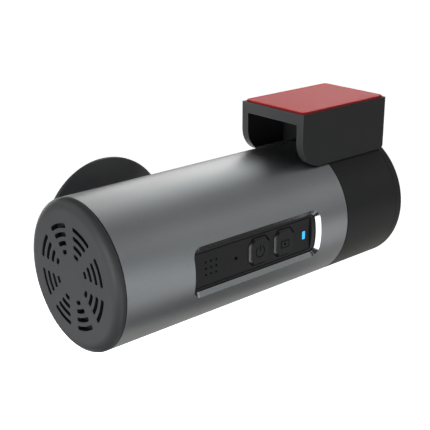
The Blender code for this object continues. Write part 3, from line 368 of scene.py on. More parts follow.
# ---- materials, with lengths in metres and noise scales per metre ----
GRAIN_DEPTH = 0.00001
WEAR_WIDTH = 0.00022
PLASTIC_CLOUDS, METAL_CLOUDS, GLASS_SMEARS, LAMP_HAZE = 90.0, 60.0, 140.0, 900.0
WAVE_TURN = 20                    # radians that a wave texture of scale 1 goes through in a metre


def feed(tree, socket, value):
    """Joins a socket to another, or sets its value."""
    if isinstance(value, bpy.types.NodeSocket):
        tree.links.new(value, socket)
    elif socket.type == "RGBA":
        socket.default_value = (*value, 1.0)
    else:
        socket.default_value = value


def add_node(tree, kind, inputs=(), **settings):
    made = tree.nodes.new(kind)
    for key, value in settings.items():
        setattr(made, key, value)
    for key, value in dict(inputs).items():
        feed(tree, made.inputs[key], value)
    return made


class Recipe:
    """A node material under construction, on object coordinates in metres."""

    def __init__(self, name):
        self.material = bpy.data.materials.new(name)
        self.material.use_nodes = True
        self.tree = self.material.node_tree
        self.shader = self.tree.nodes["Principled BSDF"]
        self.place = self.tree.nodes.new("ShaderNodeTexCoord").outputs["Object"]

    def node(self, kind, inputs=(), **settings):
        return add_node(self.tree, kind, inputs, **settings)

    def noise(self, scale, detail=2.0, roughness=0.5, stretch=None):
        place = self.place
        if stretch:
            place = self.node("ShaderNodeMapping", {"Scale": stretch, "Vector": place}).outputs["Vector"]
        return self.node("ShaderNodeTexNoise", {"Scale": scale, "Detail": detail, "Roughness": roughness,
                                                "Vector": place}).outputs["Fac"]

    def ramp(self, source, low, high, first=0.3, last=0.7):
        """Maps a factor's middle range onto two colours."""
        made = self.node("ShaderNodeValToRGB", {"Fac": source})
        for element, place, colour in zip(made.color_ramp.elements, (first, last), (low, high)):
            element.position = place
            element.color = (*colour, 1.0)
        return made.outputs["Color"]

    def span(self, source, low, high, first=0.3, last=0.7):
        """Maps a factor's middle range onto two values."""
        return self.node("ShaderNodeMapRange", {"Value": source, "From Min": first, "From Max": last,
                                                "To Min": low, "To Max": high}).outputs["Result"]

    def mix(self, factor, first, second):
        made = self.node("ShaderNodeMix", data_type="RGBA")
        for name, kind, value in (("Factor", "VALUE", factor), ("A", "RGBA", first),
                                  ("B", "RGBA", second)):
            socket = next(item for item in made.inputs if item.name == name and item.type == kind)
            feed(self.tree, socket, value)
        return next(out for out in made.outputs if out.type == "RGBA")

    def bump(self, height, strength, distance):
        made = self.node("ShaderNodeBump", {"Strength": strength, "Distance": distance, "Height": height})
        self.tree.links.new(made.outputs["Normal"], self.shader.inputs["Normal"])

    def edges(self, width, turn=0.12):
        """1 on a sharp edge, falling to 0 at the given distance from it."""
        bevel = self.node("ShaderNodeBevel", {"Radius": width}, samples=4).outputs["Normal"]
        face = self.node("ShaderNodeNewGeometry").outputs["Normal"]
        compare = self.node("ShaderNodeVectorMath", {0: bevel, 1: face}, operation="DOT_PRODUCT")
        return self.span(compare.outputs["Value"], 1.0, 0.0, 1 - turn, 1.0)

    def worn(self, amount, patches, width=WEAR_WIDTH):
        """Wear along the edges, broken up by a noise."""
        factors = {0: self.edges(width), 1: self.span(patches, 0.25 * amount, amount)}
        return self.node("ShaderNodeMath", factors, operation="MULTIPLY").outputs["Value"]

    def set(self, **values):
        for name, value in values.items():
            feed(self.tree, self.shader.inputs[name.replace("_", " ")], value)


def scaled(colour, factor):
    return tuple(min(channel * factor, 1.0) for channel in colour)


def moulded(name, colour, roughness, grain=0.00018, strength=0.35, variation=0.12, specular=0.5,
            wear=0.5, wear_width=WEAR_WIDTH):
    """Moulded plastic with a fine spark-eroded grain, slight cloudiness and polished edges."""
    recipe = Recipe(name)
    cloud = recipe.noise(PLASTIC_CLOUDS, 3.0)
    speck = recipe.noise(1.0 / grain, 3.0, 0.6)
    tone = recipe.ramp(cloud, scaled(colour, 1 - variation), scaled(colour, 1 + variation))
    tone = recipe.mix(0.35, tone, recipe.ramp(speck, scaled(colour, 0.8), scaled(colour, 1.25)))
    if wear:
        tone = recipe.mix(recipe.worn(wear, cloud, wear_width), tone, scaled(colour, 2.2))
    recipe.set(Base_Color=tone, Roughness=recipe.span(speck, roughness - 0.05, roughness + 0.06),
               Specular_IOR_Level=specular)
    recipe.bump(speck, strength, GRAIN_DEPTH)
    return recipe.material


def metal(name, colour, roughness, grain=0.00022, strength=0.12, variation=0.06, brushed=None):
    """Metal with a fine blasted grain, or a brushed one where the grain is stretched."""
    recipe = Recipe(name)
    cloud = recipe.noise(METAL_CLOUDS, 2.0)
    speck = recipe.noise(1.0 / grain, 2.0, 0.6, brushed)
    tone = recipe.ramp(cloud, scaled(colour, 1 - variation), scaled(colour, 1 + variation))
    tone = recipe.mix(0.5, tone, recipe.ramp(speck, scaled(colour, 0.88), scaled(colour, 1.12)))
    tone = recipe.mix(recipe.worn(0.6, cloud), tone, scaled(colour, 1.35))
    recipe.set(Base_Color=tone, Metallic=1.0,
               Roughness=recipe.span(speck, roughness - 0.04, roughness + 0.05))
    recipe.bump(speck, strength, GRAIN_DEPTH)
    return recipe.material


def glassy(name, tint, coating):
    """Glass with a thin film, whose thickness is in nanometres."""
    recipe = Recipe(name)
    smear = recipe.noise(GLASS_SMEARS, 3.0)
    recipe.set(Base_Color=recipe.ramp(smear, scaled(tint, 0.97), tint), Transmission_Weight=1.0, IOR=1.5,
               Roughness=recipe.span(smear, 0.0, 0.02), Thin_Film_Thickness=coating, Thin_Film_IOR=1.38)
    return recipe.material


def woven(name, colour, pitch):
    """Fine plain weave: two crossed sets of round threads with dark gaps between them."""
    recipe = Recipe(name)
    threads = []
    for axis in ("Y", "Z"):
        inputs = {"Scale": math.tau / pitch / WAVE_TURN, "Distortion": 0.0, "Vector": recipe.place}
        wave = recipe.node("ShaderNodeTexWave", inputs, wave_type="BANDS", bands_direction=axis)
        threads.append(wave.outputs["Fac"])
    height = recipe.node("ShaderNodeMath", enumerate(threads), operation="MAXIMUM").outputs["Value"]
    recipe.set(Base_Color=recipe.ramp(height, scaled(colour, 0.15), colour, 0.35, 0.8),
               Roughness=recipe.span(height, 0.9, 0.55, 0.3, 0.9))
    recipe.bump(height, 0.8, pitch / 3)
    return recipe.material


def lamp(name, colour, power):
    recipe = Recipe(name)
    haze = recipe.noise(LAMP_HAZE, 1.0)
    glow = recipe.ramp(haze, scaled(colour, 0.96), colour)
    recipe.set(Base_Color=scaled(colour, 0.25), Roughness=0.3, Emission_Color=glow,
               Emission_Strength=power)
    return recipe.material


ANODISED = metal("anodised_grey", (0.36, 0.37, 0.385), 0.42, grain=0.00032, strength=0.45)
CUT_EDGE = metal("bright_cut_edge", (0.46, 0.47, 0.48), 0.14, grain=0.0004, strength=0.01,
                 variation=0.03)
TUBE_INSIDE = metal("tube_inside", (0.20, 0.205, 0.21), 0.5)
BRACKET_BLACK = moulded("bracket_black", (0.0215, 0.0215, 0.022), 0.55, specular=0.41)
# painted light: the bracket's end faces are over three times lighter than its sides, for the light
# falling on them from the vent end, and the wide, strong edge lightening is a painted highlight along
# their rounded edges
BRACKET_END_PAINTED_LIGHT = moulded("bracket_end_painted_light", (0.074, 0.075, 0.077), 0.5, wear=1.2, wear_width=0.0004)
HINGE_BLACK = moulded("hinge_black", (0.0185, 0.0185, 0.019), 0.50, specular=0.37)
CAP_GREY = moulded("cap_grey_plastic", (0.060, 0.062, 0.064), 0.50)
PANEL_BLACK = moulded("panel_black_plastic", (0.0165, 0.0165, 0.017), 0.52, grain=0.00012, strength=0.25,
                      specular=0.36)
BEZEL_BLACK = moulded("bezel_black_plastic", (0.020, 0.020, 0.021), 0.42, grain=0.00012, strength=0.2)
KEY_BLACK = moulded("key_black_plastic", (0.012, 0.0125, 0.0135), 0.47, grain=0.0001, strength=0.15,
                    specular=0.36)
KEY_EDGE = moulded("key_bevel_black", (0.016, 0.016, 0.0165), 0.22, grain=0.0001, strength=0.05,
                   specular=0.55, wear=0)
# painted shade: the key symbols' grooves are darker than the key face, standing in for the shade inside
# them
ENGRAVED_PAINTED_SHADE = moulded("engraved_painted_shade", (0.005, 0.005, 0.005), 0.7, grain=0.0001, specular=0.12, wear=0)
POD_BLACK = moulded("pod_black_plastic", (0.072, 0.0735, 0.0765), 0.45, wear=0)
GLOSS_BLACK = moulded("gloss_black_ring", (0.008, 0.008, 0.009), 0.12, grain=0.0005, strength=0.02)
FOAM_RED = moulded("foam_red", (0.42, 0.012, 0.018), 0.65, grain=0.00022, strength=0.5)
LINER_RED = moulded("liner_red", (0.98, 0.046, 0.051), 0.5, grain=0.0002, strength=0.12, variation=0.02,
                    specular=0.12, wear=0)
LIGHT_BLUE = lamp("status_light_blue", (0.028, 0.58, 1.0), 1.0)
LIGHT_EDGE = moulded("status_light_edge", (0.10, 0.008, 0.006), 0.4, grain=0.0001)
GLASS = glassy("coated_glass", (0.96, 0.98, 1.0), 380.0)
LENS_GLASS = glassy("lens_element_glass", (0.93, 0.97, 1.0), 320.0)
STEEL = metal("satin_steel", (0.56, 0.56, 0.57), 0.32, brushed=(1, 8, 8))
GOLD = metal("contact_gold", (0.85, 0.62, 0.26), 0.28)
CARD_BLACK = moulded("card_black", (0.018, 0.018, 0.019), 0.45, grain=0.00012)
LENS_BLACK = moulded("lens_tube_black", (0.012, 0.012, 0.013), 0.5, grain=0.0001, strength=0.3)
WOVEN_BLACK = woven("woven_mesh", (0.010, 0.010, 0.0105), 0.00045)
# painted shade: the vent slots' walls are near black, far darker than the cap, for the shade inside the
# slots
SLOT_PAINTED_SHADE = moulded("slot_wall_painted_shade", (0.016, 0.0162, 0.0166), 0.65, grain=0.00015)

CARRIED = {
    "steel": STEEL,
    "aluminium": metal("plain_aluminium", (0.68, 0.69, 0.70), 0.38, brushed=(1, 6, 6)),
    "brass": metal("machined_brass", (0.72, 0.54, 0.24), 0.32, brushed=(8, 1, 1)),
    "board_green": moulded("solder_mask", (0.018, 0.10, 0.045), 0.38, grain=0.0006, strength=0.2),
    "chip_black": moulded("chip_epoxy", (0.020, 0.020, 0.022), 0.5, grain=0.00015),
    "nylon_white": moulded("nylon", (0.72, 0.71, 0.68), 0.42, variation=0.03),
    "lens_glass": LENS_GLASS,
    "flex_amber": moulded("polyimide_film", (0.45, 0.19, 0.035), 0.32, grain=0.0008, strength=0.1),
    "mesh_black": moulded("cone_paper", (0.010, 0.010, 0.010), 0.85, grain=0.0003, strength=0.8),
    "rubber_black": moulded("lead_rubber", (0.018, 0.018, 0.018), 0.7),
    "thermal_grey": moulded("gap_pad", (0.34, 0.36, 0.39), 0.8, grain=0.0004, strength=0.4),
    "capacitor_blue": moulded("shrink_sleeve", (0.03, 0.06, 0.22), 0.3, grain=0.0012, strength=0.1),
    "black_plastic": POD_BLACK,
    "gloss_black": GLOSS_BLACK,
    "tube_grey": ANODISED,
    "cap_grey": CAP_GREY,
    "panel_black": PANEL_BLACK,
    "button_black": KEY_BLACK,
    "red_film": LINER_RED,
    "red_foam": FOAM_RED,
    "light_blue": LIGHT_BLUE,
}


# ---- aluminium tube ----
def window_ring(inset, radius):
    """The window's outline pushed in by `inset`, wrapped on a cylinder of the given radius."""
    left = WINDOW_LEFT + inset
    right = WINDOW_RIGHT - inset
    half = WINDOW_HALF_ARC - inset
    flat = box_outline(left, right, -half, half, WINDOW_CORNER - inset, 16)
    return [(x, -radius * math.cos(arc / TUBE_RADIUS), radius * math.sin(arc / TUBE_RADIUS))
            for x, arc in split_runs(flat, 1, LONGEST_WINDOW_RUN, 24)]


def window_cutter():
    over = 0.5
    outer = window_ring(-over, TUBE_RADIUS + over)
    inner = window_ring(WINDOW_CHAMFER, TUBE_RADIUS - WINDOW_CHAMFER)
    far_out = [(x, -TUBE_RADIUS - 5.0, z) for x, y, z in outer]
    far_in = [(x, -TUBE_RADIUS / 2, z) for x, y, z in inner]
    bm = bmesh.new()
    loft_into(bm, [far_out, outer, inner, far_in])
    return to_object("window_cutter", bm)


def on_chamfer(centre, normal):
    """True on the bright 45 degree cut round the window; takes a point and normal in millimetres."""
    radius = math.hypot(centre.y, centre.z)
    driver_side, slack = -15, 0.1
    outward = Vector((0, centre.y, centre.z)).normalized()
    return (TUBE_RADIUS - WINDOW_CHAMFER - 0.02 < radius < TUBE_RADIUS - 0.01 and centre.y <= driver_side
            and WINDOW_LEFT - slack < centre.x < WINDOW_RIGHT + slack
            and 0.4 < normal.dot(outward) < 0.95)


def build_tube():
    profile = rounded([(0, TUBE_BORE, LIP), (TUBE_LENGTH, TUBE_BORE, LIP),
                       (TUBE_LENGTH, TUBE_RADIUS, LIP), (0, TUBE_RADIUS, LIP)], 3)
    tube = turned("tube", profile)
    carve(tube, window_cutter())
    hole, depth = POD_NECK + SEAM, 30
    carve(tube, turned("pod_hole", [(0, 0), (depth, 0), (depth, hole), (0, hole)], "Y", (POD_X, 0, 0)))
    slot = box_outline(CARD_X - CARD_SLOT_HALF, CARD_X + CARD_SLOT_HALF, CARD_SLOT_NEAR, CARD_SLOT_FAR,
                       CARD_SLOT_CORNER)
    below, inside = -25, -10
    carve(tube, prism("card_slot", slot, "Z", below, inside))
    paint_faces(tube, 1, on_chamfer)
    wall = TUBE_BORE + 0.05
    paint_faces(tube, 2, lambda centre, normal: math.hypot(centre.y, centre.z) < wall)
    settle(tube, "barrel", [ANODISED, CUT_EDGE, TUBE_INSIDE], ["tube_shell"], sharp=25)


# ---- vented end cap ----
def slot_outline(radius, middle, grow):
    """One curved slot with rounded ends; the spokes between sectors keep the same width."""
    half = SLOT_WIDTH / 2
    reach = math.pi / SLOT_SECTORS - math.asin((SPOKE_WIDTH / 2 + half) / radius)
    length = max(reach, SHORTEST_SLOT) * radius + half
    flat = box_outline(-length - grow, length + grow, -half - grow, half + grow, SLOT_CORNER + grow)
    return [((radius + offset) * math.cos(middle + arc / radius),
             (radius + offset) * math.sin(middle + arc / radius))
            for arc, offset in split_runs(flat, 0, LONGEST_SLOT_RUN, 10)]


def build_vent_cap():
    spigot = TUBE_BORE - 0.2
    spigot_end, spigot_wall = 4.0, 1.5
    profile = [(-CAP_DEPTH, 0)]
    profile += [(-CAP_DEPTH + (CAP_DEPTH - SEAM) * along, TUBE_RADIUS - CAP_EDGE_WIDTH * across)
                for along, across in quarter_turn(12)]
    back = CAP_THICKNESS - CAP_DEPTH
    profile += [(-SEAM, spigot), (spigot_end, spigot), (spigot_end, spigot - spigot_wall),
                (back, spigot - spigot_wall), (back, 0)]
    cap = turned("vent_cap", profile)
    bm = bmesh.new()
    edge, past = 0.07, 0.3
    for sector in range(SLOT_SECTORS):
        middle = 2 * math.pi * (sector + 0.5) / SLOT_SECTORS
        for radius in SLOT_RADII:
            rings = []
            for place, grow in ((-CAP_DEPTH - past, edge + past), (-CAP_DEPTH + edge, 0.0), (past, 0.0)):
                rings.append([(place, u, v) for u, v in slot_outline(radius, middle, grow)])
            loft_into(bm, rings)
    carve(cap, to_object("slot_cutter", bm))
    # painted shade: the slots' side walls get the near-black finish
    floor = -CAP_DEPTH + edge + 0.02
    slots_end = SLOT_RADII[0] + 1.4
    paint_faces(cap, 1, lambda centre, normal: (centre.x > floor and abs(normal.x) < 0.2
                                                and math.hypot(centre.y, centre.z) < slots_end))
    settle(cap, "barrel", [CAP_GREY, SLOT_PAINTED_SHADE], ["vent_end_cap"])


# ---- hinge end and bracket ----
def build_hinge_housing():
    wall = HINGE_START + 2.6
    profile = rounded([(HINGE_START, BUSH_RADIUS, 0), (HINGE_START, TUBE_RADIUS, LIP),
                       (HINGE_SEAM, TUBE_RADIUS, LIP), (HINGE_SEAM, HINGE_BORE, 0),
                       (wall, HINGE_BORE, 0), (wall, BUSH_RADIUS, 0)], 3)
    housing = turned("hinge_shell", profile)
    pedestal_top = BRACKET_HIGH.z - BRACKET_PLATE - SEAM
    plan = box_outline(PEDESTAL_LEFT, PEDESTAL_RIGHT, -PEDESTAL_HALF, PEDESTAL_HALF, 0.15, 3)
    carve(housing, prism("pedestal", plan, "Z", PEDESTAL_ROOT, pedestal_top), "UNION")
    room = box_outline(-POWER_ROOM_HALF, POWER_ROOM_HALF, POWER_ROOM_LOW, POWER_ROOM_TOP)
    carve(housing, prism("room", room, "X", PEDESTAL_LEFT + 1.8, PEDESTAL_RIGHT - 1.4))
    bm = bmesh.new()
    levels = ((PEDESTAL_LEFT - 0.3, 0.55), (PEDESTAL_LEFT + 0.15, 0.1), (PEDESTAL_LEFT + 5, 0.1))
    loft_into(bm, grown_rings(*node_box("usb_socket_shell"), levels, SOCKET_CORNER))
    carve(housing, to_object("mouth", bm))
    outline = band(0, 0, STOP_ORBIT, 2 * STOP_HALF, 90 + STOP_REACH, 90 - STOP_REACH, 24)
    carve(housing, prism("stop_slot", outline, "X", HINGE_START - 2, HINGE_START + 2.8))
    settle(housing, "mount", [HINGE_BLACK], ["hinge_housing"])


def build_hinge_cap():
    start = HINGE_SEAM + 0.1
    spigot = HINGE_BORE - FIT
    spigot_wall, spigot_length = 1.4, 3
    edge_depth, edge_width = 1.2, 1.4
    profile = [(start, 0), (start, spigot - spigot_wall), (start - spigot_length, spigot - spigot_wall),
               (start - spigot_length, spigot), (start, spigot), (start, TUBE_RADIUS - LIP),
               (start + LIP, TUBE_RADIUS)]
    profile += [(HINGE_END - edge_depth * along, TUBE_RADIUS - edge_width * across)
                for across, along in quarter_turn(8)]
    profile.append((HINGE_END, 0))
    settle(turned("hinge_cap", profile), "mount", [HINGE_BLACK], ["hinge_end_cap"])


def build_socket():
    """Power socket's drawn steel shell, with the tongue and its gold contacts."""
    low, high = node_box("usb_socket_shell")
    wall, mouth_round, back_wall = 0.3, 0.08, 1.0
    levels = ((high.x, 0.0), (low.x + mouth_round, 0.0), (low.x, -mouth_round),
              (low.x, mouth_round - wall), (low.x + mouth_round, -wall), (high.x - back_wall, -wall))
    bm = bmesh.new()
    loft_into(bm, grown_rings(low, high, levels, SOCKET_CORNER, 8))
    settle(to_object("socket_shell", bm), "mount", [STEEL], ["usb_socket_shell"])

    low, high = node_box("usb_socket_tongue")
    tongue = prism("socket_tongue", box_outline(low.y, high.y, low.z, high.z, 0.12, 3), "X",
                   low.x, high.x)
    bm = bmesh.new()
    bm.from_mesh(tongue.data)
    contacts, pitch, half, rise = 12, 0.5, 0.12, 0.03
    first = -2.75
    for level in (high.z, low.z):
        for index in range(contacts):
            middle = first + index * pitch
            contact = box_outline(middle - half, middle + half, level - rise, level + rise)
            prism_into(bm, contact, "X", low.x + 0.4, high.x - 0.3)
    bm.to_mesh(tongue.data)
    bm.free()
    contact_level = 0.36
    middle = (low.z + high.z) / 2
    paint_faces(tongue, 1, lambda centre, normal: abs(centre.z - middle) > contact_level)
    settle(tongue, "mount", [CARRIED["chip_black"], GOLD], ["usb_socket_tongue"])


def build_bracket():
    left, right, top = BRACKET_LOW.x, BRACKET_HIGH.x, BRACKET_HIGH.z
    low = math.sqrt(BRACKET_CLEARANCE ** 2 - BRACKET_HALF ** 2)
    heel, underside = 1.2, 14.0
    outline = [(left, top)]
    for step in range(17):
        angle = math.radians(180 + 90 * step / 16)
        outline.append((left + CHEEK_ROUND + CHEEK_ROUND * math.cos(angle),
                        low + CHEEK_ROUND + CHEEK_ROUND * math.sin(angle)))
    outline += [(left + CHEEK_ROUND + heel, underside), (right - 2 * heel, underside),
                (right - heel, low), (right, low + heel), (right, top)]
    bracket = prism("bracket", outline, "Y", -BRACKET_HALF, BRACKET_HALF)
    inner = BRACKET_HALF - BRACKET_WALL
    channel = box_outline(-inner, inner, 0, top - BRACKET_PLATE)
    carve(bracket, prism("channel", channel, "X", left - 5, right - BRACKET_WALL))
    carve(bracket, turned("hollow", [(left - 5, 0), (right + 5, 0), (right + 5, BRACKET_CLEARANCE),
                                     (left - 5, BRACKET_CLEARANCE)]))
    half, past = BRACKET_HALF, BRACKET_HALF + 1
    plan = rounded([(left - 1, -past, 0), (left - 1, past, 0), (left, past, 0), (left, half, 0),
                    (right, half, BRACKET_CORNER), (right, -half, BRACKET_CORNER), (left, -half, 0),
                    (left, -past, 0)], 5)
    carve(bracket, prism("plan", plan, "Z", 0, top + 1), "INTERSECT")
    soften(bracket, 0.3, 3, 40)
    pad_low, pad_high = node_box("adhesive_foam_pad")
    recess = box_outline(pad_low.x - FIT, pad_high.x + FIT, pad_low.y - FIT, pad_high.y + FIT,
                         PAD_CORNER + FIT)
    carve(bracket, prism("recess", recess, "Z", top - PAD_RECESS, top + 5))
    # painted light: faces turned towards the vent end get the lighter end finish
    paint_faces(bracket, 1, lambda centre, normal: normal.x < -0.3 and centre.x < left + CHEEK_ROUND)
    settle(bracket, "mount", [BRACKET_BLACK, BRACKET_END_PAINTED_LIGHT], ["mount_bracket"])


def flat_pad(name, low, high, levels):
    """A thin pad with round corners, from (height, inset) levels."""
    rings = []
    for place, inset in levels:
        flat = box_outline(low.x + inset, high.x - inset, low.y + inset, high.y - inset,
                           PAD_CORNER - inset, 8)
        rings.append([(x, y, place) for x, y in flat])
    bm = bmesh.new()
    loft_into(bm, rings)
    return to_object(name, bm)


def build_pad():
    """Adhesive foam and the release liner on it."""
    low, high = node_box("adhesive_foam_pad")
    levels = ((low.z, 0.0), (high.z - 0.12, 0.0), (high.z - 0.035, 0.03), (high.z, 0.1))
    foam = flat_pad("foam_pad", low, high, levels)
    settle(foam, "mount", [FOAM_RED], ["adhesive_foam_pad"])
    low, high = node_box("release_liner")
    levels = ((low.z, 0.12), (high.z - 0.04, 0.12), (high.z, 0.16))
    settle(flat_pad("liner", low, high, levels), "mount", [LINER_RED], ["release_liner"])


# ---- key panel ----
def curved_plate(name, left, right, inner, outer, half_angle, corner):
    """Part of a cylinder's wall on the driver's side, with round corners in plan."""
    reach = math.degrees(half_angle)
    outline = band(0, 0, (outer + inner) / 2, outer - inner, 180 + reach, 180 - reach, 32)
    bm = bmesh.new()
    prism_into(bm, outline, "X", left, right)
    corners = []
    for edge in bm.edges:
        first, second = (vert.co for vert in edge.verts)
        spread = [abs(abs(math.atan2(point.z, -point.y)) - half_angle) for point in (first, second)]
        on_side = max(spread) < 1e-3
        if on_side and abs(first.x - second.x) < LEVEL:
            corners.append(edge)
    bmesh.ops.bevel(bm, geom=corners, offset=corner, segments=10, affect="EDGES", profile=0.5)
    return to_object(name, bm)


def build_bezel():
    inset = WINDOW_CHAMFER + FIT
    half_angle = (WINDOW_HALF_ARC - inset) / TUBE_RADIUS
    bezel = curved_plate("bezel", WINDOW_LEFT + inset, WINDOW_RIGHT - inset, BEZEL_BACK, RIM_RADIUS,
                         half_angle, WINDOW_CORNER - inset)
    lap, lap_angle, flange_corner = 0.6, 0.09, 2.0
    flange = curved_plate("bezel_flange", WINDOW_LEFT - lap, WINDOW_RIGHT + lap, FLANGE_BACK,
                          TUBE_BORE - FIT, half_angle + lap_angle, flange_corner)
    carve(bezel, flange, "UNION")
    corner, ledge = 0.5, 1.2
    pocket = box_outline(PANEL_LOW.x - FIT, PANEL_HIGH.x + FIT, PANEL_LOW.z - FIT,
                         PANEL_HIGH.z + PANEL_TOP_GAP, corner)
    carve(bezel, prism("pocket", pocket, "Y", -30, PANEL_HIGH.y + FIT))
    opening = box_outline(PANEL_LOW.x + ledge, PANEL_HIGH.x - ledge, PANEL_LOW.z, PANEL_HIGH.z, corner)
    carve(bezel, prism("opening", opening, "Y", -20, -10))
    settle(bezel, "barrel", [BEZEL_BLACK], ["panel_bezel"])


def octagon(x, grow=0.0, z=0.0):
    """Outline of a key: a near square with its corners cut off, grown all round."""
    half_x, half_z = BUTTON_HALF_X + grow, BUTTON_HALF_Z + grow
    cut_x, cut_z = BUTTON_CUT_X + 0.45 * grow, BUTTON_CUT_Z + 0.45 * grow
    return [(x - half_x, z - half_z + cut_z), (x - half_x + cut_x, z - half_z),
            (x + half_x - cut_x, z - half_z), (x + half_x, z - half_z + cut_z),
            (x + half_x, z + half_z - cut_z), (x + half_x - cut_x, z + half_z),
            (x - half_x + cut_x, z + half_z), (x - half_x, z + half_z - cut_z)]


def build_panel():
    outline = box_outline(PANEL_LOW.x, PANEL_HIGH.x, PANEL_LOW.z, PANEL_HIGH.z, 0.4)
    panel = prism("key_panel", outline, "Y", PANEL_FACE, PANEL_HIGH.y)
    soften(panel, 0.1, 2, 50)
    bm = bmesh.new()
    front, back = PANEL_FACE - 2, PANEL_HIGH.y + 2
    for x in (POWER_X, PHOTO_X):
        prism_into(bm, octagon(x - KEY_OFFSET, BUTTON_GAP, KEY_OFFSET), "Y", front, back)
    holes = [(RESET_X, 0.0, RESET_RADIUS)] + [(MIC_X + column * MIC_PITCH, row * MIC_PITCH, MIC_RADIUS)
                                              for column in (-1, 0, 1) for row in (-1, 0, 1)]
    for u, v, radius in holes:
        rings = [[(x, place, z) for x, z in disc(u, v, radius + grow, 24)]
                 for place, grow in ((PANEL_FACE - 0.2, 0.25), (PANEL_FACE + 0.05, 0.0), (back, 0.0))]
        loft_into(bm, rings)
    low, high = node_box("led_light_pipe")
    prism_into(bm, box_outline(low.x - FIT, high.x + FIT, low.z - FIT, high.z + FIT), "Y", front, back)
    carve(panel, to_object("panel_holes", bm))
    settle(panel, "barrel", [PANEL_BLACK], ["rear_panel"])


def build_status_light():
    low, high = node_box("led_light_pipe")
    rim, rise = 0.1, 0.02
    pipe = prism("status_light", box_outline(low.x, high.x, low.z, high.z), "Y",
                 PANEL_FACE - rise, high.y)
    bm = bmesh.new()
    bm.from_mesh(pipe.data)
    face = min(bm.faces, key=lambda item: item.calc_center_median().y)
    bmesh.ops.inset_region(bm, faces=[face], thickness=rim)
    bm.to_mesh(pipe.data)
    bm.free()
    paint_faces(pipe, 1, lambda centre, normal: True)
    paint_faces(pipe, 0, lambda centre, normal: (centre.y < PANEL_FACE and abs(centre.x - LIGHT_X) < 0.3
                                                 and abs(centre.z) < 0.5))
    settle(pipe, "barrel", [LIGHT_BLUE, LIGHT_EDGE], ["led_light_pipe"])


def build_key(name, node, x, body, symbol):
    flange_front = PANEL_HIGH.y - PANEL_FACE + 0.2
    flange_back = flange_front + 0.7
    levels = [(octagon(x, -BUTTON_RISE), -BUTTON_RISE), (octagon(x), 0.0), (octagon(x), flange_front)]
    bm = bmesh.new()
    loft_into(bm, [[(u, PANEL_FACE + depth, v) for u, v in outline] for outline, depth in levels])
    key = to_object(name, bm)
    soften(key, 0.07, 2, 30)
    flange_grow, overlap = 0.5, 0.1
    flange = prism("flange", octagon(x, flange_grow), "Y", PANEL_FACE + flange_front - overlap,
                   PANEL_FACE + flange_back)
    carve(key, flange, "UNION")
    stem_start = PANEL_FACE + flange_back - 0.3
    stem = turned("stem", [(stem_start, 0), (STEM_END, 0), (STEM_END, STEM_RADIUS),
                           (stem_start, STEM_RADIUS)], "Y", (x, 0, 0), 32)
    carve(key, stem, "UNION")
    carve(key, symbol(x))
    paint_faces(key, 2, lambda centre, normal: (PANEL_FACE - BUTTON_RISE < centre.y < PANEL_FACE
                                                and -0.9 < normal.y < -0.4))
    top, symbol_reach = PANEL_FACE - BUTTON_RISE + 0.02, 2.4

    # painted shade: the groove floors and walls get the darker engraving finish
    def engraved(centre, normal):
        return (top < centre.y < top + 0.2 and math.hypot(centre.x - x, centre.z) < symbol_reach
                and (abs(normal.y) > 0.99 or abs(normal.y) < 0.1))

    paint_faces(key, 1, engraved)
    settle(key, body, [KEY_BLACK, ENGRAVED_PAINTED_SHADE, KEY_EDGE], [node], sharp=25)


def groove(bm, outline):
    prism_into(bm, outline, "Y", GROOVE_TOP, GROOVE_FLOOR)


def power_symbol(x):
    bm = bmesh.new()
    line, radius, drop, bar_top = 0.26, 1.45, -0.1, 1.75
    middle = x - 0.05
    groove(bm, band(middle, drop, radius, line, 118, 422, 40))
    groove(bm, box_outline(middle - line / 2, middle + line / 2, drop, bar_top, 0.1, 3))
    return to_object("power_symbol", bm)


def photo_symbol(x):
    """A round-cornered frame with a dot in it."""
    bm = bmesh.new()
    line, half, bottom, top = 0.24, 1.55, -1.4, 0.66
    outer = box_outline(x - half, x + half, bottom, top, 0.35, 5)
    inner = box_outline(x - half + line, x + half - line, bottom + line, top - line, 0.2, 5)
    levels = ((outer, GROOVE_TOP), (outer, GROOVE_FLOOR), (inner, GROOVE_FLOOR), (inner, GROOVE_TOP))
    loft_into(bm, [[(u, place, v) for u, v in ring] for ring, place in levels], closed=True)
    groove(bm, disc(x, (bottom + top) / 2, 0.36, 24))
    return to_object("photo_symbol", bm)


# ---- lens pod ----
def pod_turned(name, profile, segments=ROUND):
    return turned(name, profile, "Y", (POD_X, 0, 0), segments)


def build_pod():
    shoulder = 22.6
    corners = [(POD_ROOT, POD_BORE, 0), (POD_ROOT, POD_NECK, 0), (19.35, POD_NECK, 0.6),
               (22.2, 18.73, 0.5), (22.5, POD_RADIUS, 0.25), (POD_FRONT, POD_RADIUS, 0.3),
               (POD_FRONT, POD_SEAT, 0.12), (shoulder, POD_SEAT, 0), (GLASS_FRONT + FIT, POD_BORE, 0)]
    settle(pod_turned("pod", rounded(corners, 4)), "barrel", [POD_BLACK], ["lens_pod"])

    opening = 8.4
    lip = POD_FRONT - 0.25
    floor = GLASS_FRONT + SEAM
    step_y = lip - 1.0
    ring = POD_SEAT - FIT
    corners = [(floor, opening, 0), (floor + 0.6, opening, 0.15), (step_y, 11.2, 0.2),
               (step_y, 12.6, 0.2), (lip, 15.2, 0.4), (lip, ring, 0.3), (shoulder + 0.15, ring, 0),
               (floor, POD_BORE - 0.2, 0)]
    settle(pod_turned("pod_ring", rounded(corners, 4)), "barrel", [GLOSS_BLACK],
           ["pod_front_bezel"])
    radius = GLASS_HIGH.x - POD_X
    corners = [(GLASS_LOW.y, 0, 0), (GLASS_LOW.y, radius, 0.1), (GLASS_FRONT, radius, 0.1),
               (GLASS_FRONT, 0, 0)]
    settle(pod_turned("front_glass", rounded(corners, 3)), "barrel", [GLASS],
           ["cover_glass"])


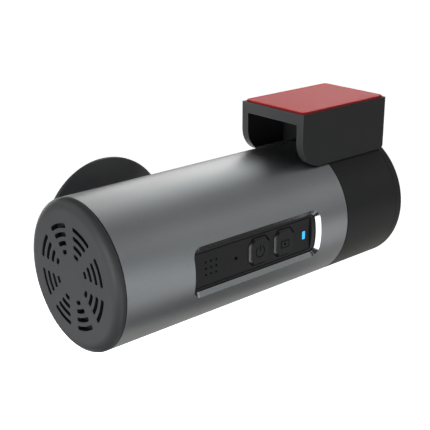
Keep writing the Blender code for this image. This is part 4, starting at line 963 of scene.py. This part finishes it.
def lens_profile(node, back_bulge, front_bulge, steps=12):
    """Half section of a lens that fills its node's length: a hollow face has a negative bulge."""
    low, high = node_box(node)
    radius = high.x - POD_X
    back = low.y + max(back_bulge, 0.0)
    front = high.y - max(front_bulge, 0.0)
    shares = [step / steps for step in range(steps + 1)]
    points = [(back - back_bulge * (1 - share ** 2), radius * share) for share in shares]
    points += [(front + front_bulge * (1 - share ** 2), radius * share) for share in shares[::-1]]
    return points


def build_optics():
    """Lens barrel with its stepped mouth, and the three elements that it holds."""
    low, high = node_box("lens_barrel")
    head_radius = high.x - POD_X
    head = node_box("lens_holder")[1].y + 0.5
    small, big, tail = 4.6, 6.6, 6.2
    shoulder = head + 1.5
    nose = high.y
    corners = [(low.y, small, 0), (low.y, tail, 0.1), (head, tail, 0), (head, head_radius, 0.15)]
    grooves, groove_depth = 5, 0.12
    pitch = (nose - head - 1.6) / grooves
    for index in range(grooves):
        start = head + 0.8 + index * pitch
        corners += [(start, head_radius, 0), (start + 0.12, head_radius - groove_depth, 0),
                    (start + 0.30, head_radius - groove_depth, 0), (start + 0.42, head_radius, 0)]
    corners += [(nose, head_radius, 0.2), (nose, big + 0.75, 0.1), (nose - 0.5, big + 0.45, 0.05),
                (nose - 0.5, big + 0.2, 0.05), (nose - 1.1, big, 0.05), (shoulder, big, 0),
                (shoulder, small, 0)]
    settle(pod_turned("lens_tube", rounded(corners, 3), 96), "barrel", [LENS_BLACK],
           ["lens_barrel"])
    for name, node, back, front in (("lens_front", "lens_element_front", -0.9, 1.4),
                                    ("lens_middle", "lens_element_middle", 0.5, 0.6),
                                    ("lens_rear", "lens_element_rear", 0.6, 0.4)):
        settle(pod_turned(name, lens_profile(node, back, front), 96), "barrel",
               [LENS_GLASS], [node])


def build_card():
    """Memory card: bevelled body, thumb ridges at its outer end and gold contacts at its inner end."""
    low, high = CARD_LOW, CARD_HIGH
    notch = 1.0
    outline = rounded([(low.x, low.z, 0.5), (high.x, low.z, 0.5), (high.x, low.z + 9.3, 0.3),
                       (high.x - notch, low.z + 10.2, 0.3), (high.x - notch, high.z, 0.4),
                       (low.x, high.z, 0.4)], 4)
    card = prism("memory_card", outline, "Y", low.y, high.y)
    soften(card, 0.06, 2, 50)
    ridge = bmesh.new()
    side, pitch, width = 2.4, 0.5, 0.22
    for index in range(4):
        start = low.z + 0.8 + index * pitch
        prism_into(ridge, box_outline(low.x + side, high.x - side, start, start + width),
                   "Y", low.y - 1, low.y + 0.1)
    carve(card, to_object("thumb_grooves", ridge))
    pads = bmesh.new()
    pad_start, pad_end, pitch, width = 3.6, 0.7, 1.08, 0.8
    for index in range(8):
        start = low.x + 0.9 + index * pitch
        prism_into(pads, box_outline(start, start + width, high.z - pad_start, high.z - pad_end),
                   "Y", high.y - 0.06, high.y + 1)
    carve(card, to_object("contact_seats", pads))
    paint_faces(card, 1, lambda centre, normal: (normal.y > 0.9 and centre.y < high.y - 0.03
                                                 and centre.z > high.z - pad_start))
    settle(card, "memory_card", [CARD_BLACK, GOLD], ["sd_card"])


def build_dust_mesh():
    """Woven dust mesh close behind the vents."""
    low, high = node_box("dust_mesh")
    radius = high.z
    profile = rounded([(low.x, 0, 0), (high.x, 0, 0), (high.x, radius, 0.1), (low.x, radius, 0.1)], 2)
    settle(turned("woven_mesh", profile, segments=96), "barrel", [WOVEN_BLACK],
           ["dust_mesh"])


def build_all():
    build_tube()
    build_vent_cap()
    build_dust_mesh()
    build_hinge_housing()
    build_hinge_cap()
    build_socket()
    build_bracket()
    build_pad()
    build_bezel()
    build_panel()
    build_status_light()
    build_key("power_key_cap", "power_button", POWER_X, "power_key", power_symbol)
    build_key("photo_key_cap", "photo_button", PHOTO_X, "photo_key", photo_symbol)
    build_pod()
    build_optics()
    build_card()


def finish_carried():
    """Gives each CAD node that no piece replaces the finish of its own slot."""
    slots = {row["node"]: row["material_slot"] for row in frame["record"]["subparts"]}
    for name, node in frame["nodes"].items():
        if node.hide_render:
            continue
        node.data.materials.clear()
        node.data.materials.append(CARRIED[slots[name]])


# ---- studio ----
LIGHT_TARGET = Vector((-0.03, 0.0, -0.03))        # the camera body's middle, in metres
LIGHT_DISTANCE = 0.6
LIGHT_SIZE = 0.3
WORLD_TINT = (1.00, 0.95, 0.96)
WORLD_STRENGTH = 0.056
CAMERA_ANGLES = (-41.1312, 19.8654, -0.176)       # azimuth, elevation and roll, in degrees
CAMERA_LENS = 77.46
CAMERA_PLACE = Vector((-108.335, -172.777, 87.769))


def round_axis(along, turn):
    """Direction with the given share along the barrel, turned round it from the driver's side."""
    reach = math.sqrt(1 - along * along)
    angle = math.radians(turn)
    return (along, -reach * math.cos(angle), reach * math.sin(angle))


# share of the direction that is along the barrel: turn round it in degrees, watts, colour
RING_LIGHTS = {
    0.62: [(-120, 0.151, (1, 1, 0.95)), (-30, 0.281, (0.99, 1, 0.99)), (30, 0.087, (0.95, 1, 0.98)),
           (60, 0.072, (1, 1, 0.95)), (90, 0.074, (0.95, 1, 1)), (120, 0.405, (0.97, 1, 0.95)),
           (150, 0.597, (1, 0.98, 0.95))],
    0.86: [(-90, 0.270, (1, 1, 0.95)), (30, 0.129, (1, 1, 0.95)), (150, 0.257, (1, 0.95, 0.95))],
    0.25: [(-90, 0.200, (1, 1, 0.95)), (-45, 0.120, (0.95, 1, 1)), (0, 0.361, (0.95, 1, 1)),
           (45, 0.142, (0.95, 0.95, 1)), (90, 0.077, (1, 0.95, 1))],
    -0.62: [(-150, 0.397, (0.99, 0.96, 1)), (90, 0.049, (1, 0.95, 0.95)), (150, 0.392, (1, 0.95, 0.95))],
}

# name, direction from the camera body, watts, colour
SINGLE_LIGHTS = [
    ("vent_face", (-1, 0, 0), 1.346, (0.95, 1, 1)),
    ("road_fill", (0.15, 0.97, -0.15), 1.300, (1, 1, 1)),
    ("road_low", (0.20, 0.72, -0.62), 0.600, (1, 1, 1)),
    ("far_end", (0.96, 0.25, -0.12), 1.000, (1, 1, 1)),
]


def area_light(name, direction, size, power, colour=(1, 1, 1), size_y=None):
    data = bpy.data.lights.new(name, "AREA")
    data.shape = "RECTANGLE"
    data.size = size
    data.size_y = size_y or size
    data.energy = power
    data.color = colour
    light = bpy.data.objects.new(name, data)
    bpy.context.scene.collection.objects.link(light)
    way = Vector(direction).normalized()
    light.location = LIGHT_TARGET + way * LIGHT_DISTANCE
    light.rotation_mode = "QUATERNION"
    light.rotation_quaternion = way.to_track_quat("Z", "Y")
    light.visible_camera = False


def build_world():
    """Dim light from all round; the camera alone sees it white."""
    world = bpy.data.worlds.new("studio")
    bpy.context.scene.world = world
    world.use_nodes = True
    tree = world.node_tree
    tree.nodes.clear()
    seen = add_node(tree, "ShaderNodeBackground", {"Color": (1, 1, 1)})
    dim = add_node(tree, "ShaderNodeBackground", {"Color": WORLD_TINT, "Strength": WORLD_STRENGTH})
    camera_ray = add_node(tree, "ShaderNodeLightPath").outputs["Is Camera Ray"]
    mixer = add_node(tree, "ShaderNodeMixShader", {0: camera_ray, 1: dim.outputs["Background"],
                                                   2: seen.outputs["Background"]})
    add_node(tree, "ShaderNodeOutputWorld", {"Surface": mixer.outputs["Shader"]})


def build_floor():
    """A pale floor just under the camera, which neither lights nor mirrors in it."""
    size = 4.0
    bm = bmesh.new()
    level = CAD_BOX[0].z - 0.25
    bm.faces.new([bm.verts.new((x, y, level)) for x, y in box_outline(-size, size, -size, size)])
    floor = to_object("floor", bm)
    recipe = Recipe("pale_floor")
    cloud = recipe.noise(3.0, 2.0)
    recipe.set(Base_Color=recipe.ramp(cloud, (0.90, 0.90, 0.90), (0.93, 0.93, 0.93)), Roughness=0.8,
               Emission_Color=(1.0, 1.0, 1.0), Emission_Strength=1.0)
    floor.data.materials.append(recipe.material)
    floor.visible_glossy = False
    floor.visible_diffuse = False
    floor.visible_transmission = False


def build_studio():
    bpy.context.scene.view_settings.view_transform = "Standard"
    build_world()
    for along, ring in RING_LIGHTS.items():
        for turn, power, colour in ring:
            area_light(f"ring_{along}_{turn}", round_axis(along, turn), LIGHT_SIZE, power, colour)
    for name, direction, power, colour in SINGLE_LIGHTS:
        area_light(name, direction, LIGHT_SIZE, power, colour)
    area_light("edge_strip", (-0.635, -0.695, -0.362), 0.18, 1.25, size_y=0.75)
    build_floor()


def build_camera():
    azimuth, elevation, roll = (math.radians(angle) for angle in CAMERA_ANGLES)
    back = Vector((math.sin(azimuth) * math.cos(elevation), -math.cos(azimuth) * math.cos(elevation),
                   math.sin(elevation)))
    right = Vector((0, 0, 1)).cross(back).normalized()
    up = back.cross(right)
    turned_right = right * math.cos(roll) + up * math.sin(roll)
    turned_up = up * math.cos(roll) - right * math.sin(roll)
    data = bpy.data.cameras.new("camera")
    data.sensor_width = 36.0
    data.lens = CAMERA_LENS
    data.clip_start = 0.01
    data.clip_end = 50.0
    camera = bpy.data.objects.new("camera", data)
    bpy.context.scene.collection.objects.link(camera)
    turn = Matrix((turned_right, turned_up, back)).transposed().to_4x4()
    camera.matrix_world = Matrix.Translation(TO_ROW @ CAMERA_PLACE) @ turn
    bpy.context.scene.camera = camera


build_all()
finish_carried()
build_studio()
build_camera()
